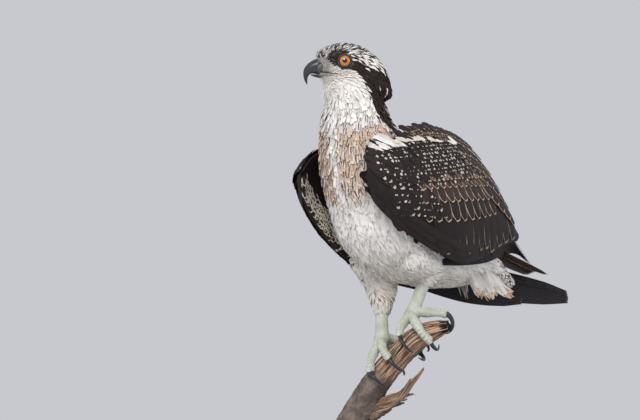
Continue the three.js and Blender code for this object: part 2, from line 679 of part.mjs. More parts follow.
// A claw is an arc that leaves the toe's end and curls back towards the perch.
function clawPath(path, toe) {
  const [before, end] = path.slice(-2);
  const { at, along } = perchFrame(toe.fromEnd);
  const fromMiddle = end.clone().sub(at);
  const outward = fromMiddle.addScaledVector(along, -fromMiddle.dot(along)).normalize();
  const round = along.clone().cross(outward).multiplyScalar(Math.sign(toe.angle));
  const ahead = end.clone().sub(before).normalize().lerp(round, toe.claw * 0.85).normalize();
  const inward = outward.clone().negate().addScaledVector(ahead, outward.dot(ahead)).normalize();
  const rise = mix(-CLAW_RISE, CLAW_RISE, toe.claw);
  const out = ahead.clone().multiplyScalar(Math.cos(rise)).addScaledVector(inward, -Math.sin(rise));
  const curl = inward.clone().multiplyScalar(Math.cos(rise)).addScaledVector(ahead, Math.sin(rise));
  const root = end.clone().addScaledVector(end.clone().sub(before).normalize(), GAP);
  return Array.from({ length: 6 }, (_, k) => {
    const turn = (CLAW_SWEEP * k) / 5;
    const ahead = root.clone().addScaledVector(out, CLAW_BEND * Math.sin(turn));
    return ahead.addScaledVector(curl, CLAW_BEND * (1 - Math.cos(turn)));
  });
}

// Each limb's thickness at t along it: toes have pads, claws taper, and a tarsus swells at both ends.
const THIGH_RADIUS = 24;
const CUFF_RADIUS = 10;
const toeRadius = (t) => TOE_RADIUS * (1.1 - 0.2 * t + 0.09 * Math.cos(t * 4 * Math.PI));
const clawRadius = (t) => CLAW_RADIUS * (1.06 - t) ** 0.7 + 0.15;
const thighRadius = (t) => mix(THIGH_RADIUS, CUFF_RADIUS, t ** 1.6);
const tarsusRadius = (t) => TARSUS_RADIUS * (1 + 0.2 * (2 * t - 1) ** 2);
const toeSolid = (path, grow) => tube(path, (t) => toeRadius(t) + grow, { steps: 7, sides: 8 });
const clawSolid = (path, grow) => tube(path, (t) => clawRadius(t) + grow, { steps: 7, sides: 6 });
const thighSolid = (path, grow) => tube(path, (t) => thighRadius(t) + grow, { steps: 8, sides: 12 });
const tarsusSolid = (path, grow) => tube(path, (t) => tarsusRadius(t) + grow, { steps: 6, sides: 10 });
const without = (solid, others) => others.reduce((left, other) => left.subtract(other), solid);

function buildLeg(side, leg, perchGrown) {
  const [knee, heel, foot] = [vec(...leg.knee), vec(...leg.heel), vec(...leg.foot)];
  const cuff = heel.clone().lerp(foot, leg.cuff);
  const thighPath = [knee, knee.clone().lerp(heel, 0.55), heel.clone().add(vec(...leg.bend)), cuff];
  const tarsusPath = [foot.clone().lerp(heel, 0.9), foot.clone().lerp(heel, 0.45), foot];
  const tarsusTop = halfSpace(foot.clone().lerp(heel, 0.72), heel.clone().sub(foot));
  const palm = (grow) => ball(foot, new Array(3).fill(FOOT_BALL + grow), 12);
  const tarsus = tarsusSolid(tarsusPath, 0).add(palm(0));
  const aboveTarsus = [tarsusTop, thighSolid(thighPath, GAP), bodyGrown];
  addNode("thigh_" + side, thighSolid(thighPath, 0).subtract(bodyGrown), WHITE_PLUMAGE);
  addNode("tarsus_" + side, without(tarsus, [...aboveTarsus, perchGrown]), LEG_SCALES);
  const taken = [perchGrown, palm(GAP), tarsusSolid(tarsusPath, GAP)];
  const paths = TOES[side].map((toe) => toePath(foot, toe));
  paths.forEach((path, k) => {
    addNode(`toe_${side}_${k + 1}`, without(toeSolid(path, 0), taken), LEG_SCALES);
    taken.push(toeSolid(path, GAP));
  });
  TOES[side].forEach((toe, k) => {
    const path = clawPath(paths[k], toe);
    addNode(`claw_${side}_${k + 1}`, without(clawSolid(path, 0), taken), CLAW_HORN);
    taken.push(clawSolid(path, GAP));
  });
}

function buildLegs() {
  const perch = perchSolid().add(joined(SPLINTERS.map(splinterSolid)));
  addNode("perch", perch.subtract(below({ at: vec(0, 0, PERCH_CUT), normal: vec(0, 0, 1) })), DEAD_WOOD);
  for (const [side, leg] of Object.entries(LEGS)) buildLeg(side, leg, perchSolid(GAP));
}

function buildStand() {
  const base = new THREE.Shape();
  const [x, y] = [BASE_LONG / 2 - BASE_CORNER, BASE_WIDE / 2 - BASE_CORNER];
  base.moveTo(-x, -y - BASE_CORNER);
  base.lineTo(x, -y - BASE_CORNER);
  base.absarc(x, -y, BASE_CORNER, -Math.PI / 2, 0);
  base.absarc(x, y, BASE_CORNER, 0, Math.PI / 2);
  base.absarc(-x, y, BASE_CORNER, Math.PI / 2, Math.PI);
  base.absarc(-x, -y, BASE_CORNER, Math.PI, 1.5 * Math.PI);
  const slab = new THREE.ExtrudeGeometry(base, { depth: BASE_HIGH, bevelEnabled: false, curveSegments: 5 });
  addNode("stand_base", solidOf(slab), STAND_PAINT);
  const high = PERCH_CUT - BASE_HIGH - 2 * GAP;
  const rod = new THREE.CylinderGeometry(ROD_RADIUS, ROD_RADIUS, high, 20).rotateX(Math.PI / 2);
  rod.translate(PERCH_FOOT.x, PERCH_FOOT.y, (PERCH_CUT + BASE_HIGH) / 2);
  addNode("stand_rod", solidOf(rod), STAND_PAINT);
}

// A lock of long feathers: sunk at its root, drooping and tapering to its tip.
function lock(root, tip, out, width) {
  const place = (t) => ({ at: root.clone().lerp(tip, t), along: tip.clone().sub(root).normalize(), face: out });
  return vane(place, width, { thick: 2.2, shape: SHORT_VANE });
}

// Shaggy feathers at the back of the head, in the head's own frame.
const NAPE = {
  locks: 7, spread: rad(120), root: vec(-14, 0, -8), reach: 26, tip: vec(-12, 0, -31), far: 33,
};

function napeLocks() {
  return Array.from({ length: NAPE.locks }, (_, k) => {
    const turn = NAPE.spread * (k / (NAPE.locks - 1) - 0.5);
    const back = vec(-Math.cos(turn), Math.sin(turn), 0);
    const out = back.clone().add(vec(0, 0, 0.25)).normalize();
    const root = NAPE.root.clone().addScaledVector(back, NAPE.reach);
    const tip = NAPE.tip.clone().addScaledVector(back, NAPE.far + 2 * (k % 2));
    return placeHead(lock(root, tip, out, 13));
  });
}

// Loose white feathers that hang from the vent beside the tail's root: where each starts, as x and y on
// the body's underside, and where it ends, as x and z.
const VENT_TUFTS = [
  { root: [96, -26], tip: [112, 251] },
  { root: [128, -20], tip: [140, 249] },
  { root: [150, -14], tip: [180, 252] },
  { root: [120, 16], tip: [138, 250] },
];
const ventFloor = (x) => 288 - x / 12;

function ventTufts() {
  return VENT_TUFTS.map(({ root: [x, y], tip: [tipX, tipZ] }) => {
    const out = vec(-0.4, Math.sign(y) * 0.8, -0.45).normalize();
    return lock(vec(x, y, ventFloor(x)), vec(tipX, y * 1.15, tipZ), out, 17);
  });
}

function buildTrunk() {
  const neck = flesh.intersect(below(headCut, GAP / 2)).intersect(above(neckCut, GAP / 2));
  addNode("neck", neck, WHITE_PLUMAGE);
  addNode("torso", flesh.add(joined(ventTufts())).intersect(below(neckCut, GAP / 2)), WHITE_PLUMAGE);
}

buildTrunk();
buildHead();
buildWings();
buildLegs();
buildStand();

export default group;
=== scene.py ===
# %% [markdown]
# This script dresses a life-size osprey that grips the broken end of a dead branch. The solids of the CAD
# part give every size and place, and this lesson lays skin, feathers, scales, horn and bark over them. It
# works in millimetres, as the part's source does, and turns to metres only where a mesh is made.

# %% Tools and the frame
import json
import math

import bpy
import numpy as np
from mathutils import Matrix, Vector
from mathutils.bvhtree import BVHTree
from mathutils.kdtree import KDTree
from mathutils.noise import fractal

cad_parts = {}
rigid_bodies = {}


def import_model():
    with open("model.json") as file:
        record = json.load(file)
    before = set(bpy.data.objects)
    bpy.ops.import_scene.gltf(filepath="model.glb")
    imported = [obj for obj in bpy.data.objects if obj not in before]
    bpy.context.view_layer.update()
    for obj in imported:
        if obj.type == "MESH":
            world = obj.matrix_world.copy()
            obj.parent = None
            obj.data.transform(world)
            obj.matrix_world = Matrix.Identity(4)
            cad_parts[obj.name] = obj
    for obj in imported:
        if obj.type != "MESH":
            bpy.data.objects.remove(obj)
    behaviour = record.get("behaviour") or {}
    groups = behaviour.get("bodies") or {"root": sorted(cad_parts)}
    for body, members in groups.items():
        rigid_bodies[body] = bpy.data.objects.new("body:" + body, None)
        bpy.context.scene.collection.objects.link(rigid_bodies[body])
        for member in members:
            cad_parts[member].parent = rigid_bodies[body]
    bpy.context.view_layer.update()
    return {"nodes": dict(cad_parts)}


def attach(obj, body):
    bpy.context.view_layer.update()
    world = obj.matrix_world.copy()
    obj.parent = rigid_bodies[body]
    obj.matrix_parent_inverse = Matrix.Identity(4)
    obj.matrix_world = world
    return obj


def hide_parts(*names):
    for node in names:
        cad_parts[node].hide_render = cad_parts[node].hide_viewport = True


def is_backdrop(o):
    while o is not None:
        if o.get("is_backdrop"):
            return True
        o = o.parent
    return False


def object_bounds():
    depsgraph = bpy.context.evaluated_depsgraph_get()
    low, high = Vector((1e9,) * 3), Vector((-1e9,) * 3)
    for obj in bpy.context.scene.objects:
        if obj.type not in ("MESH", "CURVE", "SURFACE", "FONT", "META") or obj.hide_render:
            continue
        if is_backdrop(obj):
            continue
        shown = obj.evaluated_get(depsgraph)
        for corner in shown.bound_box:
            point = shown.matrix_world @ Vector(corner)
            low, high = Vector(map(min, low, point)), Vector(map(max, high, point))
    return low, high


for item in list(bpy.data.objects):
    bpy.data.objects.remove(item)
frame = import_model()

# %% [markdown]
# Every shape below is a loft, a tube or a field of small vanes, so a few helpers do most of the work. The
# smooth tables are the same as the part's: a curve through evenly spaced stations, each a row of sizes.

# %% Helpers for numbers and curves
MM = 0.001
random = np.random.default_rng(7)


def unit(vectors):
    return vectors / np.maximum(np.linalg.norm(vectors, axis=-1, keepdims=True), 1e-9)


def dot(a, b):
    return np.sum(a * b, axis=-1)


def mix(a, b, t):
    return a + (b - a) * t


def shares(count):
    """Even steps from 0 to 1."""
    return np.linspace(0, 1, count)


def fade(low, high, x):
    """0 at low and below, 1 at high and above, smoothly between."""
    s = np.clip((x - low) / (high - low), 0, 1)
    return s * s * (3 - 2 * s)


def tangents(path):
    """The ways along a path, or along many paths at once, at each of its points."""
    return unit(np.gradient(path, axis=0))


def hermite(b, c, slope_in, slope_out, t):
    bend = b - c
    third, second = 2 * bend + slope_in + slope_out, -3 * bend - 2 * slope_in - slope_out
    return (third * t + second) * t * t + slope_in * t + b


def between(stations, t):
    """The stations' values at each t from 0 to 1, smoothly between them."""
    stations = np.asarray(stations, float)
    last = len(stations) - 1
    at = np.clip(np.atleast_1d(t), 0, 1) * last
    i = np.minimum(at.astype(int), last - 1)
    a, b, c, d = (stations[np.clip(i + k, 0, last)] for k in (-1, 0, 1, 2))
    return hermite(b, c, (c - a) / 2, (d - b) / 2, (at - i)[:, None])


def curve(points, count):
    """Points evenly spaced along a smooth curve through the given ones."""
    points = np.asarray(points, float)
    whole = np.vstack([2 * points[0] - points[1], points, 2 * points[-1] - points[-2]])
    t = np.linspace(0, 1, 60, endpoint=False)[:, None]
    dense = []
    for a, b, c, d in zip(whole, whole[1:], whole[2:], whole[3:]):
        ab, bc, cd = (max(np.linalg.norm(q - p), 1e-6) ** 0.5 for p, q in ((a, b), (b, c), (c, d)))
        slope_in = ((b - a) / ab - (c - a) / (ab + bc) + (c - b) / bc) * bc
        slope_out = ((c - b) / bc - (d - b) / (bc + cd) + (d - c) / cd) * bc
        dense.append(hermite(b, c, slope_in, slope_out, t))
    dense = np.vstack([*dense, points[-1:]])
    run = np.concatenate([[0], np.cumsum(np.linalg.norm(np.diff(dense, axis=0), axis=1))])
    wanted = np.linspace(0, run[-1], count)
    return np.column_stack([np.interp(wanted, run, dense[:, k]) for k in range(3)])


def srgb(red, green, blue):
    """A colour as seen on a screen, from 0 to 255, as the linear numbers that Blender uses."""
    seen = np.array([red, green, blue]) / 255
    return np.where(seen < 0.04045, seen / 12.92, ((seen + 0.055) / 1.055) ** 2.4)


# %% [markdown]
# Every mesh is made in one place, from arrays, since that is quick and keeps the metres, the stored numbers
# and the place on the map in one function.

# %% A helper that makes a piece
def make_piece(name, points, faces, material, replaces=(), attributes=None, uv=None):
    """A mesh from points in mm and faces of equal corner counts, riding on the part's one body."""
    faces = np.asarray(faces, np.int32)
    mesh = bpy.data.meshes.new(name)
    mesh.vertices.add(len(points))
    mesh.vertices.foreach_set("co", (np.asarray(points) * MM).astype(np.float32).ravel())
    mesh.loops.add(faces.size)
    mesh.loops.foreach_set("vertex_index", faces.ravel())
    mesh.polygons.add(len(faces))
    mesh.polygons.foreach_set("loop_start", np.arange(0, faces.size, faces.shape[1], dtype=np.int32))
    mesh.update(calc_edges=True)
    mesh.shade_smooth()
    for key, values in (attributes or {}).items():
        values = np.asarray(values, np.float32)
        kind = {1: "FLOAT", 3: "FLOAT_VECTOR"}[1 if values.ndim == 1 else 3]
        field = "value" if values.ndim == 1 else "vector"
        mesh.attributes.new(key, kind, "POINT").data.foreach_set(field, values.ravel())
    if uv is not None:
        layer = mesh.uv_layers.new(name="OFBake")
        layer.data.foreach_set("uv", np.asarray(uv, np.float32)[faces.ravel()].ravel())
    mesh.materials.append(material)
    made = bpy.data.objects.new(name, mesh)
    bpy.context.scene.collection.objects.link(made)
    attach(made, "root")
    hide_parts(*replaces)
    print(name, "has", sum(len(p.vertices) - 2 for p in mesh.polygons), "triangles")
    return made


# %% [markdown]
# Rings of points joined by quads make nearly every closed form here. A ring starts half a step round, so
# that quads laid across it close the ends.

# %% Helpers for lofts, tubes and balls
def loft(rings):
    """Quads over rings of points, each ring with an even count, closed by flat ends, facing out."""
    rings = np.asarray(rings, float)
    count, sides, _ = rings.shape
    grid = np.arange(count * sides).reshape(count, sides)
    turned = np.roll(grid, -1, axis=1)
    walls = np.stack([grid[:-1], turned[:-1], turned[1:], grid[1:]], -1).reshape(-1, 4)
    k = np.arange(sides // 2 - 1)
    end = np.stack([k, sides - 1 - k, sides - 2 - k, k + 1], -1)
    faces = np.vstack([walls, end, end[:, ::-1] + (count - 1) * sides])
    points = rings.reshape(-1, 3)
    a, b, c, d = (points[faces[:, i]] for i in range(4))
    volume = dot(a, np.cross(b, c)).sum() + dot(a, np.cross(c, d)).sum()
    return points, faces if volume > 0 else faces[:, ::-1]


def gather(parts):
    """Several (points, faces) as one."""
    points, faces, start = [], [], 0
    for some_points, some_faces in parts:
        points.append(some_points)
        faces.append(some_faces + start)
        start += len(some_points)
    return np.vstack(points), np.vstack(faces)


def ring_angles(sides):
    """The angles of a ring's points, an even step apart, with no point at angle 0."""
    return 2 * np.pi * (np.arange(sides) + 0.5) / sides


def tube_rings(path, radius, sides, wide=1.0, across=(0.0, 1.0, 0.0)):
    """Rings round a path. across is the oval's wide direction."""
    ways, angles = tangents(path), ring_angles(sides)
    side, rings = np.array(across), []
    for at, way, reach in zip(path, ways, np.broadcast_to(radius, len(path))):
        side = unit(side - way * side.dot(way))
        up = np.cross(way, side)
        rings.append(at + reach * (wide * np.outer(np.cos(angles), side) + np.outer(np.sin(angles), up)))
    return np.array(rings)


def ball_rings(centre, radii, count=24, sides=32):
    tilt = np.linspace(0.02, np.pi - 0.02, count)[:, None]
    turn = ring_angles(sides)
    shape = np.stack([np.sin(tilt) * np.cos(turn), np.sin(tilt) * np.sin(turn), np.cos(tilt) + 0 * turn], -1)
    return np.asarray(centre) + shape * np.asarray(radii)


def oval_rings(stations, count, sides, coat=0.0):
    """Rings along x. A station is x, z and the reach up, down and sideways, less the coat's depth."""
    here = between(stations, shares(count))
    angle = ring_angles(sides)
    up, down, wide = (here[:, 2:] - np.minimum(coat, 0.35 * here[:, 2:])).T[:, :, None]
    rise = np.sin(angle) * np.where(np.sin(angle) > 0, up, down)
    return np.stack([here[:, :1] + 0 * angle, np.cos(angle) * wide, here[:, 1:2] + rise], -1)


# %% [markdown]
# A finish here is a small graph of nodes. A short class names the few kinds that repeat, so that each
# finish reads as a recipe: where the colour comes from, what breaks it up, and how the surface is rough.

# %% A helper for node finishes
class Finish:
    def __init__(self, name, roughness=0.6):
        self.material = bpy.data.materials.new(name)
        self.material.use_nodes = True
        self.tree = self.material.node_tree
        self.shader = self.tree.nodes["Principled BSDF"]
        self.shader.inputs["Roughness"].default_value = roughness

    def feed(self, socket, value):
        if isinstance(value, bpy.types.NodeSocket):
            self.tree.links.new(value, socket)
        else:
            socket.default_value = value

    def node(self, kind, feeds, **settings):
        made = self.tree.nodes.new(kind)
        for key, value in settings.items():
            setattr(made, key, value)
        for key, value in feeds.items():
            self.feed(made.inputs[key], value)
        return made

    def maths(self, operation, first, second=0.0):
        return self.node("ShaderNodeMath", {0: first, 1: second}, operation=operation).outputs[0]

    def plus(self, first, second):
        return self.maths("ADD", first, second)

    def times(self, first, second):
        return self.maths("MULTIPLY", first, second)

    def ramp(self, value, low, high, start=0.0, end=1.0):
        feeds = {"Value": value, "From Min": low, "From Max": high, "To Min": start, "To Max": end}
        return self.node("ShaderNodeMapRange", feeds, interpolation_type="SMOOTHSTEP").outputs["Result"]

    def colour(self, share, first, second, blend="MIX"):
        def full(value):
            return value if isinstance(value, bpy.types.NodeSocket) else (*value, 1.0)
        made = self.node("ShaderNodeMix", {"Factor": share}, data_type="RGBA", blend_type=blend)
        self.feed(made.inputs[6], full(first))
        self.feed(made.inputs[7], full(second))
        return made.outputs[2]

    def attribute(self, name):
        return self.node("ShaderNodeAttribute", {}, attribute_name=name)

    def parts(self, name):
        return self.node("ShaderNodeSeparateXYZ", {"Vector": self.attribute(name).outputs["Vector"]}).outputs

    def place(self):
        return self.node("ShaderNodeTexCoord", {}).outputs["Object"]

    def stretched(self, scale, vector=None):
        feeds = {"Vector": self.place() if vector is None else vector, "Scale": scale}
        return self.node("ShaderNodeMapping", feeds).outputs["Vector"]

    def noise(self, scale, detail, vector=None):
        feeds = {"Vector": self.place() if vector is None else vector, "Scale": scale, "Detail": detail}
        return self.node("ShaderNodeTexNoise", feeds).outputs["Fac"]

    def paint(self, colour):
        self.feed(self.shader.inputs["Base Color"], colour)

    def bump(self, height, strength, distance):
        feeds = {"Height": height, "Strength": strength, "Distance": distance}
        self.feed(self.shader.inputs["Normal"], self.node("ShaderNodeBump", feeds).outputs["Normal"])


# %% [markdown]
# A feather's blade carries its own place: how far across and along it a point lies, and a number of its
# own. The finish reads these with five marks: the blade's colour, the colour of its rim or tip, how wide
# the rim is, how strong the dark streak down the shaft is, and how large the pale spot at the tip is.

# %% Plumage finish
DARK_SHAFT = srgb(104, 68, 46)


def plumage_finish(name, roughness, barb_depth):
    made = Finish(name, roughness)
    across, along, seed = made.parts("vane")
    rim, streak, spot = made.parts("mark")
    off = made.maths("ABSOLUTE", across)
    near_side = made.maths("GREATER_THAN", made.plus(off, rim), 1.0)
    reach = made.maths("SUBTRACT", 1.0, made.times(rim, 0.32))
    near_tip = made.maths("GREATER_THAN", along, reach)
    late = made.ramp(along, 0.3, 0.5)
    edge = made.times(made.maths("MAXIMUM", made.times(near_side, late), near_tip),
                      made.maths("GREATER_THAN", rim, 0.001))
    inside = made.maths("LESS_THAN", off, 0.62)
    dotted = made.times(inside, made.maths("GREATER_THAN", along, made.maths("SUBTRACT", 1.0, spot)))
    base = made.attribute("base").outputs["Color"]
    tip = made.attribute("tip").outputs["Color"]
    toned = made.colour(made.maths("MAXIMUM", edge, dotted), base, tip)
    thin = made.ramp(off, 0.12, 0.42, 1.0, 0.0)
    middle = made.times(made.times(thin, made.ramp(along, 0.35, 0.6)), streak)
    toned = made.colour(middle, toned, DARK_SHAFT)
    barb = made.plus(made.times(along, 120.0), made.times(off, -26.0))
    lines = made.maths("SINE", made.plus(barb, made.times(seed, 40.0)))
    cloud = made.noise(140.0, 4.0)
    shade = made.plus(made.times(lines, 0.05), made.ramp(cloud, 0.3, 0.7, 0.9, 1.08))
    shade = made.times(shade, made.ramp(seed, 0.0, 1.0, 0.88, 1.08))
    grey = made.node("ShaderNodeCombineColor", {0: shade, 1: shade, 2: shade}).outputs[0]
    made.paint(made.colour(1.0, toned, grey, "MULTIPLY"))
    made.feed(made.shader.inputs["Specular IOR Level"], 0.25)
    made.bump(lines, barb_depth, 0.0006)
    return made.material


PALE_PLUMAGE = plumage_finish("pale_plumage", 0.8, 0.12)
DARK_PLUMAGE = plumage_finish("dark_plumage", 0.62, 0.25)

# %% [markdown]
# The body under the feathers is one skin: a loft down the spine, the ruff of throat and nape, the skull and
# both thighs, fused by a voxel remesh so that no seam shows. The tables repeat the part's, and each form is
# drawn in by the depth of the coat, so that the feathers end where the solids do.

# %% Sizes of the body and head, as in the part
BODY = [  # x, z, front, back, wide
    [-82, 516, 31, 31, 31], [-81, 484, 40, 40, 40], [-78, 452, 44, 51, 49], [-66, 418, 52, 66, 60],
    [-43, 382, 60, 78, 68], [-14, 350, 74, 86, 69], [42, 326, 66, 70, 58], [92, 311, 53, 46, 43],
    [140, 296, 34, 22, 28], [196, 264, 4, 4, 9],
]
SKULL = [  # x, z, up, down, wide
    [40.5, -2, 14, 14, 9.5], [33, -1, 24, 21, 16], [20, 0, 28, 27, 22.5], [4, 0, 28.6, 30, 27],
    [-14, -4, 27, 28, 28], [-30, -13, 24, 26, 25], [-42, -24, 15, 18, 16], [-47, -33, 4, 8, 6],
]
RUFF_AT, RUFF_RADII = (-1, 0, -30), (40, 33, 44)
BROW = [(31, 11, 10), (18, 20, 16), (4, 24, 15.5), (-8, 24.5, 10)]
HEAD_TURN = math.radians(180 - 37)
HEAD_AT = np.array([-83.0, 2.0, 536.0])
HEAD_AXES = np.array([
    [math.cos(HEAD_TURN), math.sin(HEAD_TURN), 0],
    [-math.sin(HEAD_TURN), math.cos(HEAD_TURN), 0],
    [0, 0, 1],
])
LEGS = {  # the knee, the heel, the foot's joint, the trousers' bend off the heel, and how far down they reach
    "left": {"knee": (-22, -34, 306), "heel": (19, -35, 288), "foot": (2.4, -17, 225),
             "bend": (2, 0, 3), "cuff": 0.34},
    "right": {"knee": (-26, 30, 300), "heel": (4, 36, 267), "foot": (-14, 18, 197.5),
              "bend": (-4, -4, -6), "cuff": 0.6},
}
THIGH_RADIUS, CUFF_RADIUS = 24, 10
FOREHEAD_AT, FOREHEAD_RADII, FOREHEAD_X = (34, 0, 6), (10.5, 11, 16), 44.0
HEAD_COAT, RUFF_COAT, BODY_COAT, LEG_COAT = 2.5, 4, 5.5, 3.0
SIDES = (("left", 1), ("right", -1))


def head_to_world(points):
    return HEAD_AT + np.asarray(points, float) @ HEAD_AXES


def world_to_head(points):
    return (np.asarray(points, float) - HEAD_AT) @ HEAD_AXES.T


def spine_at(t):
    """The spine's point, its way to the tail, the way to the front, and the sizes round it."""
    here = between(BODY, t)
    step = between(BODY, t + 0.02) - between(BODY, t - 0.02)
    way = unit(np.column_stack([step[:, 0], 0 * t, step[:, 1]]))
    front = np.column_stack([way[:, 2], 0 * t, -way[:, 0]])
    at = np.column_stack([here[:, 0], 0 * t, here[:, 1]])
    return at, way, front, here[:, 2:]


def body_rings(coat, count=70, sides=64):
    t = shares(count)
    at, _, front, sizes = spine_at(t)
    drawn = np.minimum(coat, 0.35 * sizes)
    angle = ring_angles(sides)
    ahead, behind, wide = (sizes - drawn).T[:, :, None]
    depth = np.cos(angle) * np.where(np.cos(angle) > 0, ahead, behind)
    rings = at[:, None] + front[:, None] * depth[..., None]
    rings[..., 1] += np.sin(angle) * wide
    return rings


def thigh_path(leg, count=24):
    knee, heel, foot = (np.array(leg[k], float) for k in ("knee", "heel", "foot"))
    return curve([knee, mix(knee, heel, 0.55), heel + leg["bend"], mix(heel, foot, leg["cuff"])], count)


def thigh_radius(count=24):
    return mix(THIGH_RADIUS, CUFF_RADIUS, shares(count) ** 1.6)


# %% [markdown]
# A voxel remesh melts overlapping lofts into one closed skin, and a few rounds of smoothing take off its
# steps. Feathers then ask the skin for its nearest point, and for a random spread of roots.

# %% Helpers for a fused skin
SOFTENING = 6


def fused_skin(name, shells, voxel):
    points, faces = gather([loft(rings) for rings in shells])
    mesh = bpy.data.meshes.new(name)
    mesh.from_pydata(points * MM, [], faces.tolist())
    made = bpy.data.objects.new(name, mesh)
    bpy.context.scene.collection.objects.link(made)
    fuse = made.modifiers.new("fuse", "REMESH")
    fuse.mode = "VOXEL"
    fuse.voxel_size = voxel * MM
    soften = made.modifiers.new("soften", "SMOOTH")
    soften.iterations = SOFTENING
    done = bpy.data.meshes.new_from_object(made.evaluated_get(bpy.context.evaluated_depsgraph_get()))
    made.modifiers.clear()
    made.data = done
    done.name = name
    done.shade_smooth()
    return made


def unwrap(made):
    """Gives the piece a UV map of its own shape and returns the middle of each face on it."""
    made.data.uv_layers.new(name="OFBake")
    bpy.context.view_layer.objects.active = made
    made.select_set(True)
    bpy.ops.object.mode_set(mode="EDIT")
    bpy.ops.mesh.select_all(action="SELECT")
    bpy.ops.uv.smart_project(angle_limit=math.radians(66), island_margin=0.01)
    bpy.ops.object.mode_set(mode="OBJECT")
    made.select_set(False)
    count = len(made.data.loops)
    uv = np.empty(count * 2, np.float32)
    made.data.uv_layers["OFBake"].data.foreach_get("uv", uv)
    starts = np.empty(len(made.data.polygons), np.int32)
    made.data.polygons.foreach_get("loop_start", starts)
    sums = np.add.reduceat(uv.reshape(-1, 2), starts, axis=0)
    return sums / np.diff(np.append(starts, count))[:, None]


class Ground:
    """A skin that vanes grow on: its tree for finding near points, and its faces' places on the map."""

    def __init__(self, made):
        mesh = made.data
        points = np.empty(len(mesh.vertices) * 3, np.float32)
        mesh.vertices.foreach_get("co", points)
        self.points = points.reshape(-1, 3).astype(float) / MM
        self.faces = [tuple(p.vertices) for p in mesh.polygons]
        self.tree = BVHTree.FromPolygons(self.points.tolist(), self.faces)
        self.uv = unwrap(made)

    def near(self, points):
        found = [self.tree.find_nearest(Vector(p)) for p in points]
        at = np.array([f[0] for f in found], float)
        out = np.array([f[1] for f in found], float)
        return at, out, np.array([f[2] for f in found])

    def scatter(self, spacing, tries):
        """Random points on the skin, none nearer to another than the spacing wanted there."""
        corners = np.array([self.points[list(f[:3])] for f in self.faces])
        areas = np.linalg.norm(np.cross(corners[:, 1] - corners[:, 0], corners[:, 2] - corners[:, 0]), axis=1)
        chosen = random.choice(len(areas), tries, p=areas / areas.sum())
        a, b = random.random((2, tries, 1))
        spot = corners[chosen]
        points = spot[:, 0] + a * (spot[:, 1] - spot[:, 0]) + b * (spot[:, 2] - spot[:, 0])
        reach = spacing(points)
        keep = reach > 0
        points, reach = points[keep], reach[keep]
        finder = KDTree(len(points))
        for i, point in enumerate(points):
            finder.insert(point, i)
        finder.balance()
        alive = np.ones(len(points), bool)
        for i, point in enumerate(points):
            if alive[i]:
                for _, j, _ in finder.find_range(Vector(point), reach[i]):
                    if j > i:
                        alive[j] = False
        return points[alive]


# %% [markdown]
# Between feathers the skin shows, so it wears the colours that its feathers have there, stored in its
# points, under a fine down.

# %% The skin itself
def skin_under_finish():
    made = Finish("skin_under_feathers", 0.85)
    marking = made.attribute("marking").outputs["Color"]
    down = made.noise(500.0, 4.0)
    made.paint(made.colour(made.ramp(down, 0.3, 0.7, 0.0, 0.35), marking, srgb(150, 142, 136)))
    made.bump(down, 0.4, 0.001)
    return made.material


shells = [body_rings(BODY_COAT), head_to_world(oval_rings(SKULL, 40, 48, HEAD_COAT)),
          head_to_world(ball_rings(RUFF_AT, np.array(RUFF_RADII) - RUFF_COAT)),
          head_to_world(ball_rings(FOREHEAD_AT, FOREHEAD_RADII))]
for leg in LEGS.values():
    shells.append(tube_rings(thigh_path(leg), thigh_radius() - LEG_COAT, 24))
for _, side in SIDES:
    brow = curve(np.array(BROW) * (1, side, 1), 16)
    shells.append(tube_rings(head_to_world(brow), 2.4 * np.sin(np.pi * np.linspace(0.15, 0.85, 16)), 12))
SKIN_VOXEL = 2.6
skin = fused_skin("skin", shells, SKIN_VOXEL)
skin.data.materials.append(skin_under_finish())
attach(skin, "root")
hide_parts("torso", "neck", "head", "thigh_left", "thigh_right")
ground = Ground(skin)
print("the skin has", len(skin.data.polygons), "faces")

# %% [markdown]
# Plumage lies along the body like tiles. Each feather here is a thin blade that starts on the skin, is
# walked over it in the lie of the coat, and rises so that its tip rests on the next one. Its tip is ragged,
# as barbs part there. Walking on the skin, and not through the air, keeps long feathers on round flanks.

# %% Growing vanes on a skin
def walk(ground, roots, ways, length, rows):
    """Each vane's middle line over the skin, with the way out of it, as (rows, vanes, 3)."""
    at, out, _ = ground.near(roots)
    way = unit(ways - out * dot(ways, out)[:, None])
    path, outs = [at], [out]
    for _ in range(rows - 1):
        at, out, _ = ground.near(at + way * (length / (rows - 1))[:, None])
        way = unit(way - out * dot(way, out)[:, None])
        path.append(at)
        outs.append(out)
    return np.array(path), np.array(outs)


ROOT_SINK = 1.2


def blade(path, outs, look, columns, shape, ragged, arch):
    """Points (vanes, rows, columns, 3) and their own places, for vanes along the given middle lines."""
    rows, vanes, _ = path.shape
    ways = tangents(path)
    side = unit(np.cross(ways, outs))
    along = shares(rows)
    across = np.linspace(-1, 1, columns)
    half = np.interp(along, shares(len(shape)), shape)[:, None] * look["width"] / 2
    rise = mix(look["low"], look["high"], along[:, None] ** 0.8) - ROOT_SINK * (along[:, None] == 0)
    points = path[:, :, None] + side[:, :, None] * (half[:, :, None] * across)[..., None]
    lift = rise[:, :, None] - arch * half[:, :, None] * across ** 2
    points = points + outs[:, :, None] * lift[..., None]
    tear = ragged * random.random((vanes, columns)) * (look["length"] / rows)[:, None]
    points[-1] -= ways[-1][:, None] * tear[..., None]
    points[-2] -= ways[-2][:, None] * 0.4 * tear[..., None]
    own = np.empty((rows, vanes, columns, 3))
    own[..., 0] = across
    own[..., 1] = along[:, None, None]
    own[..., 2] = look["seed"][None, :, None]
    return points.transpose(1, 0, 2, 3), own.transpose(1, 0, 2, 3)


PATCH = 0.003  # how wide a vane's place on the map is


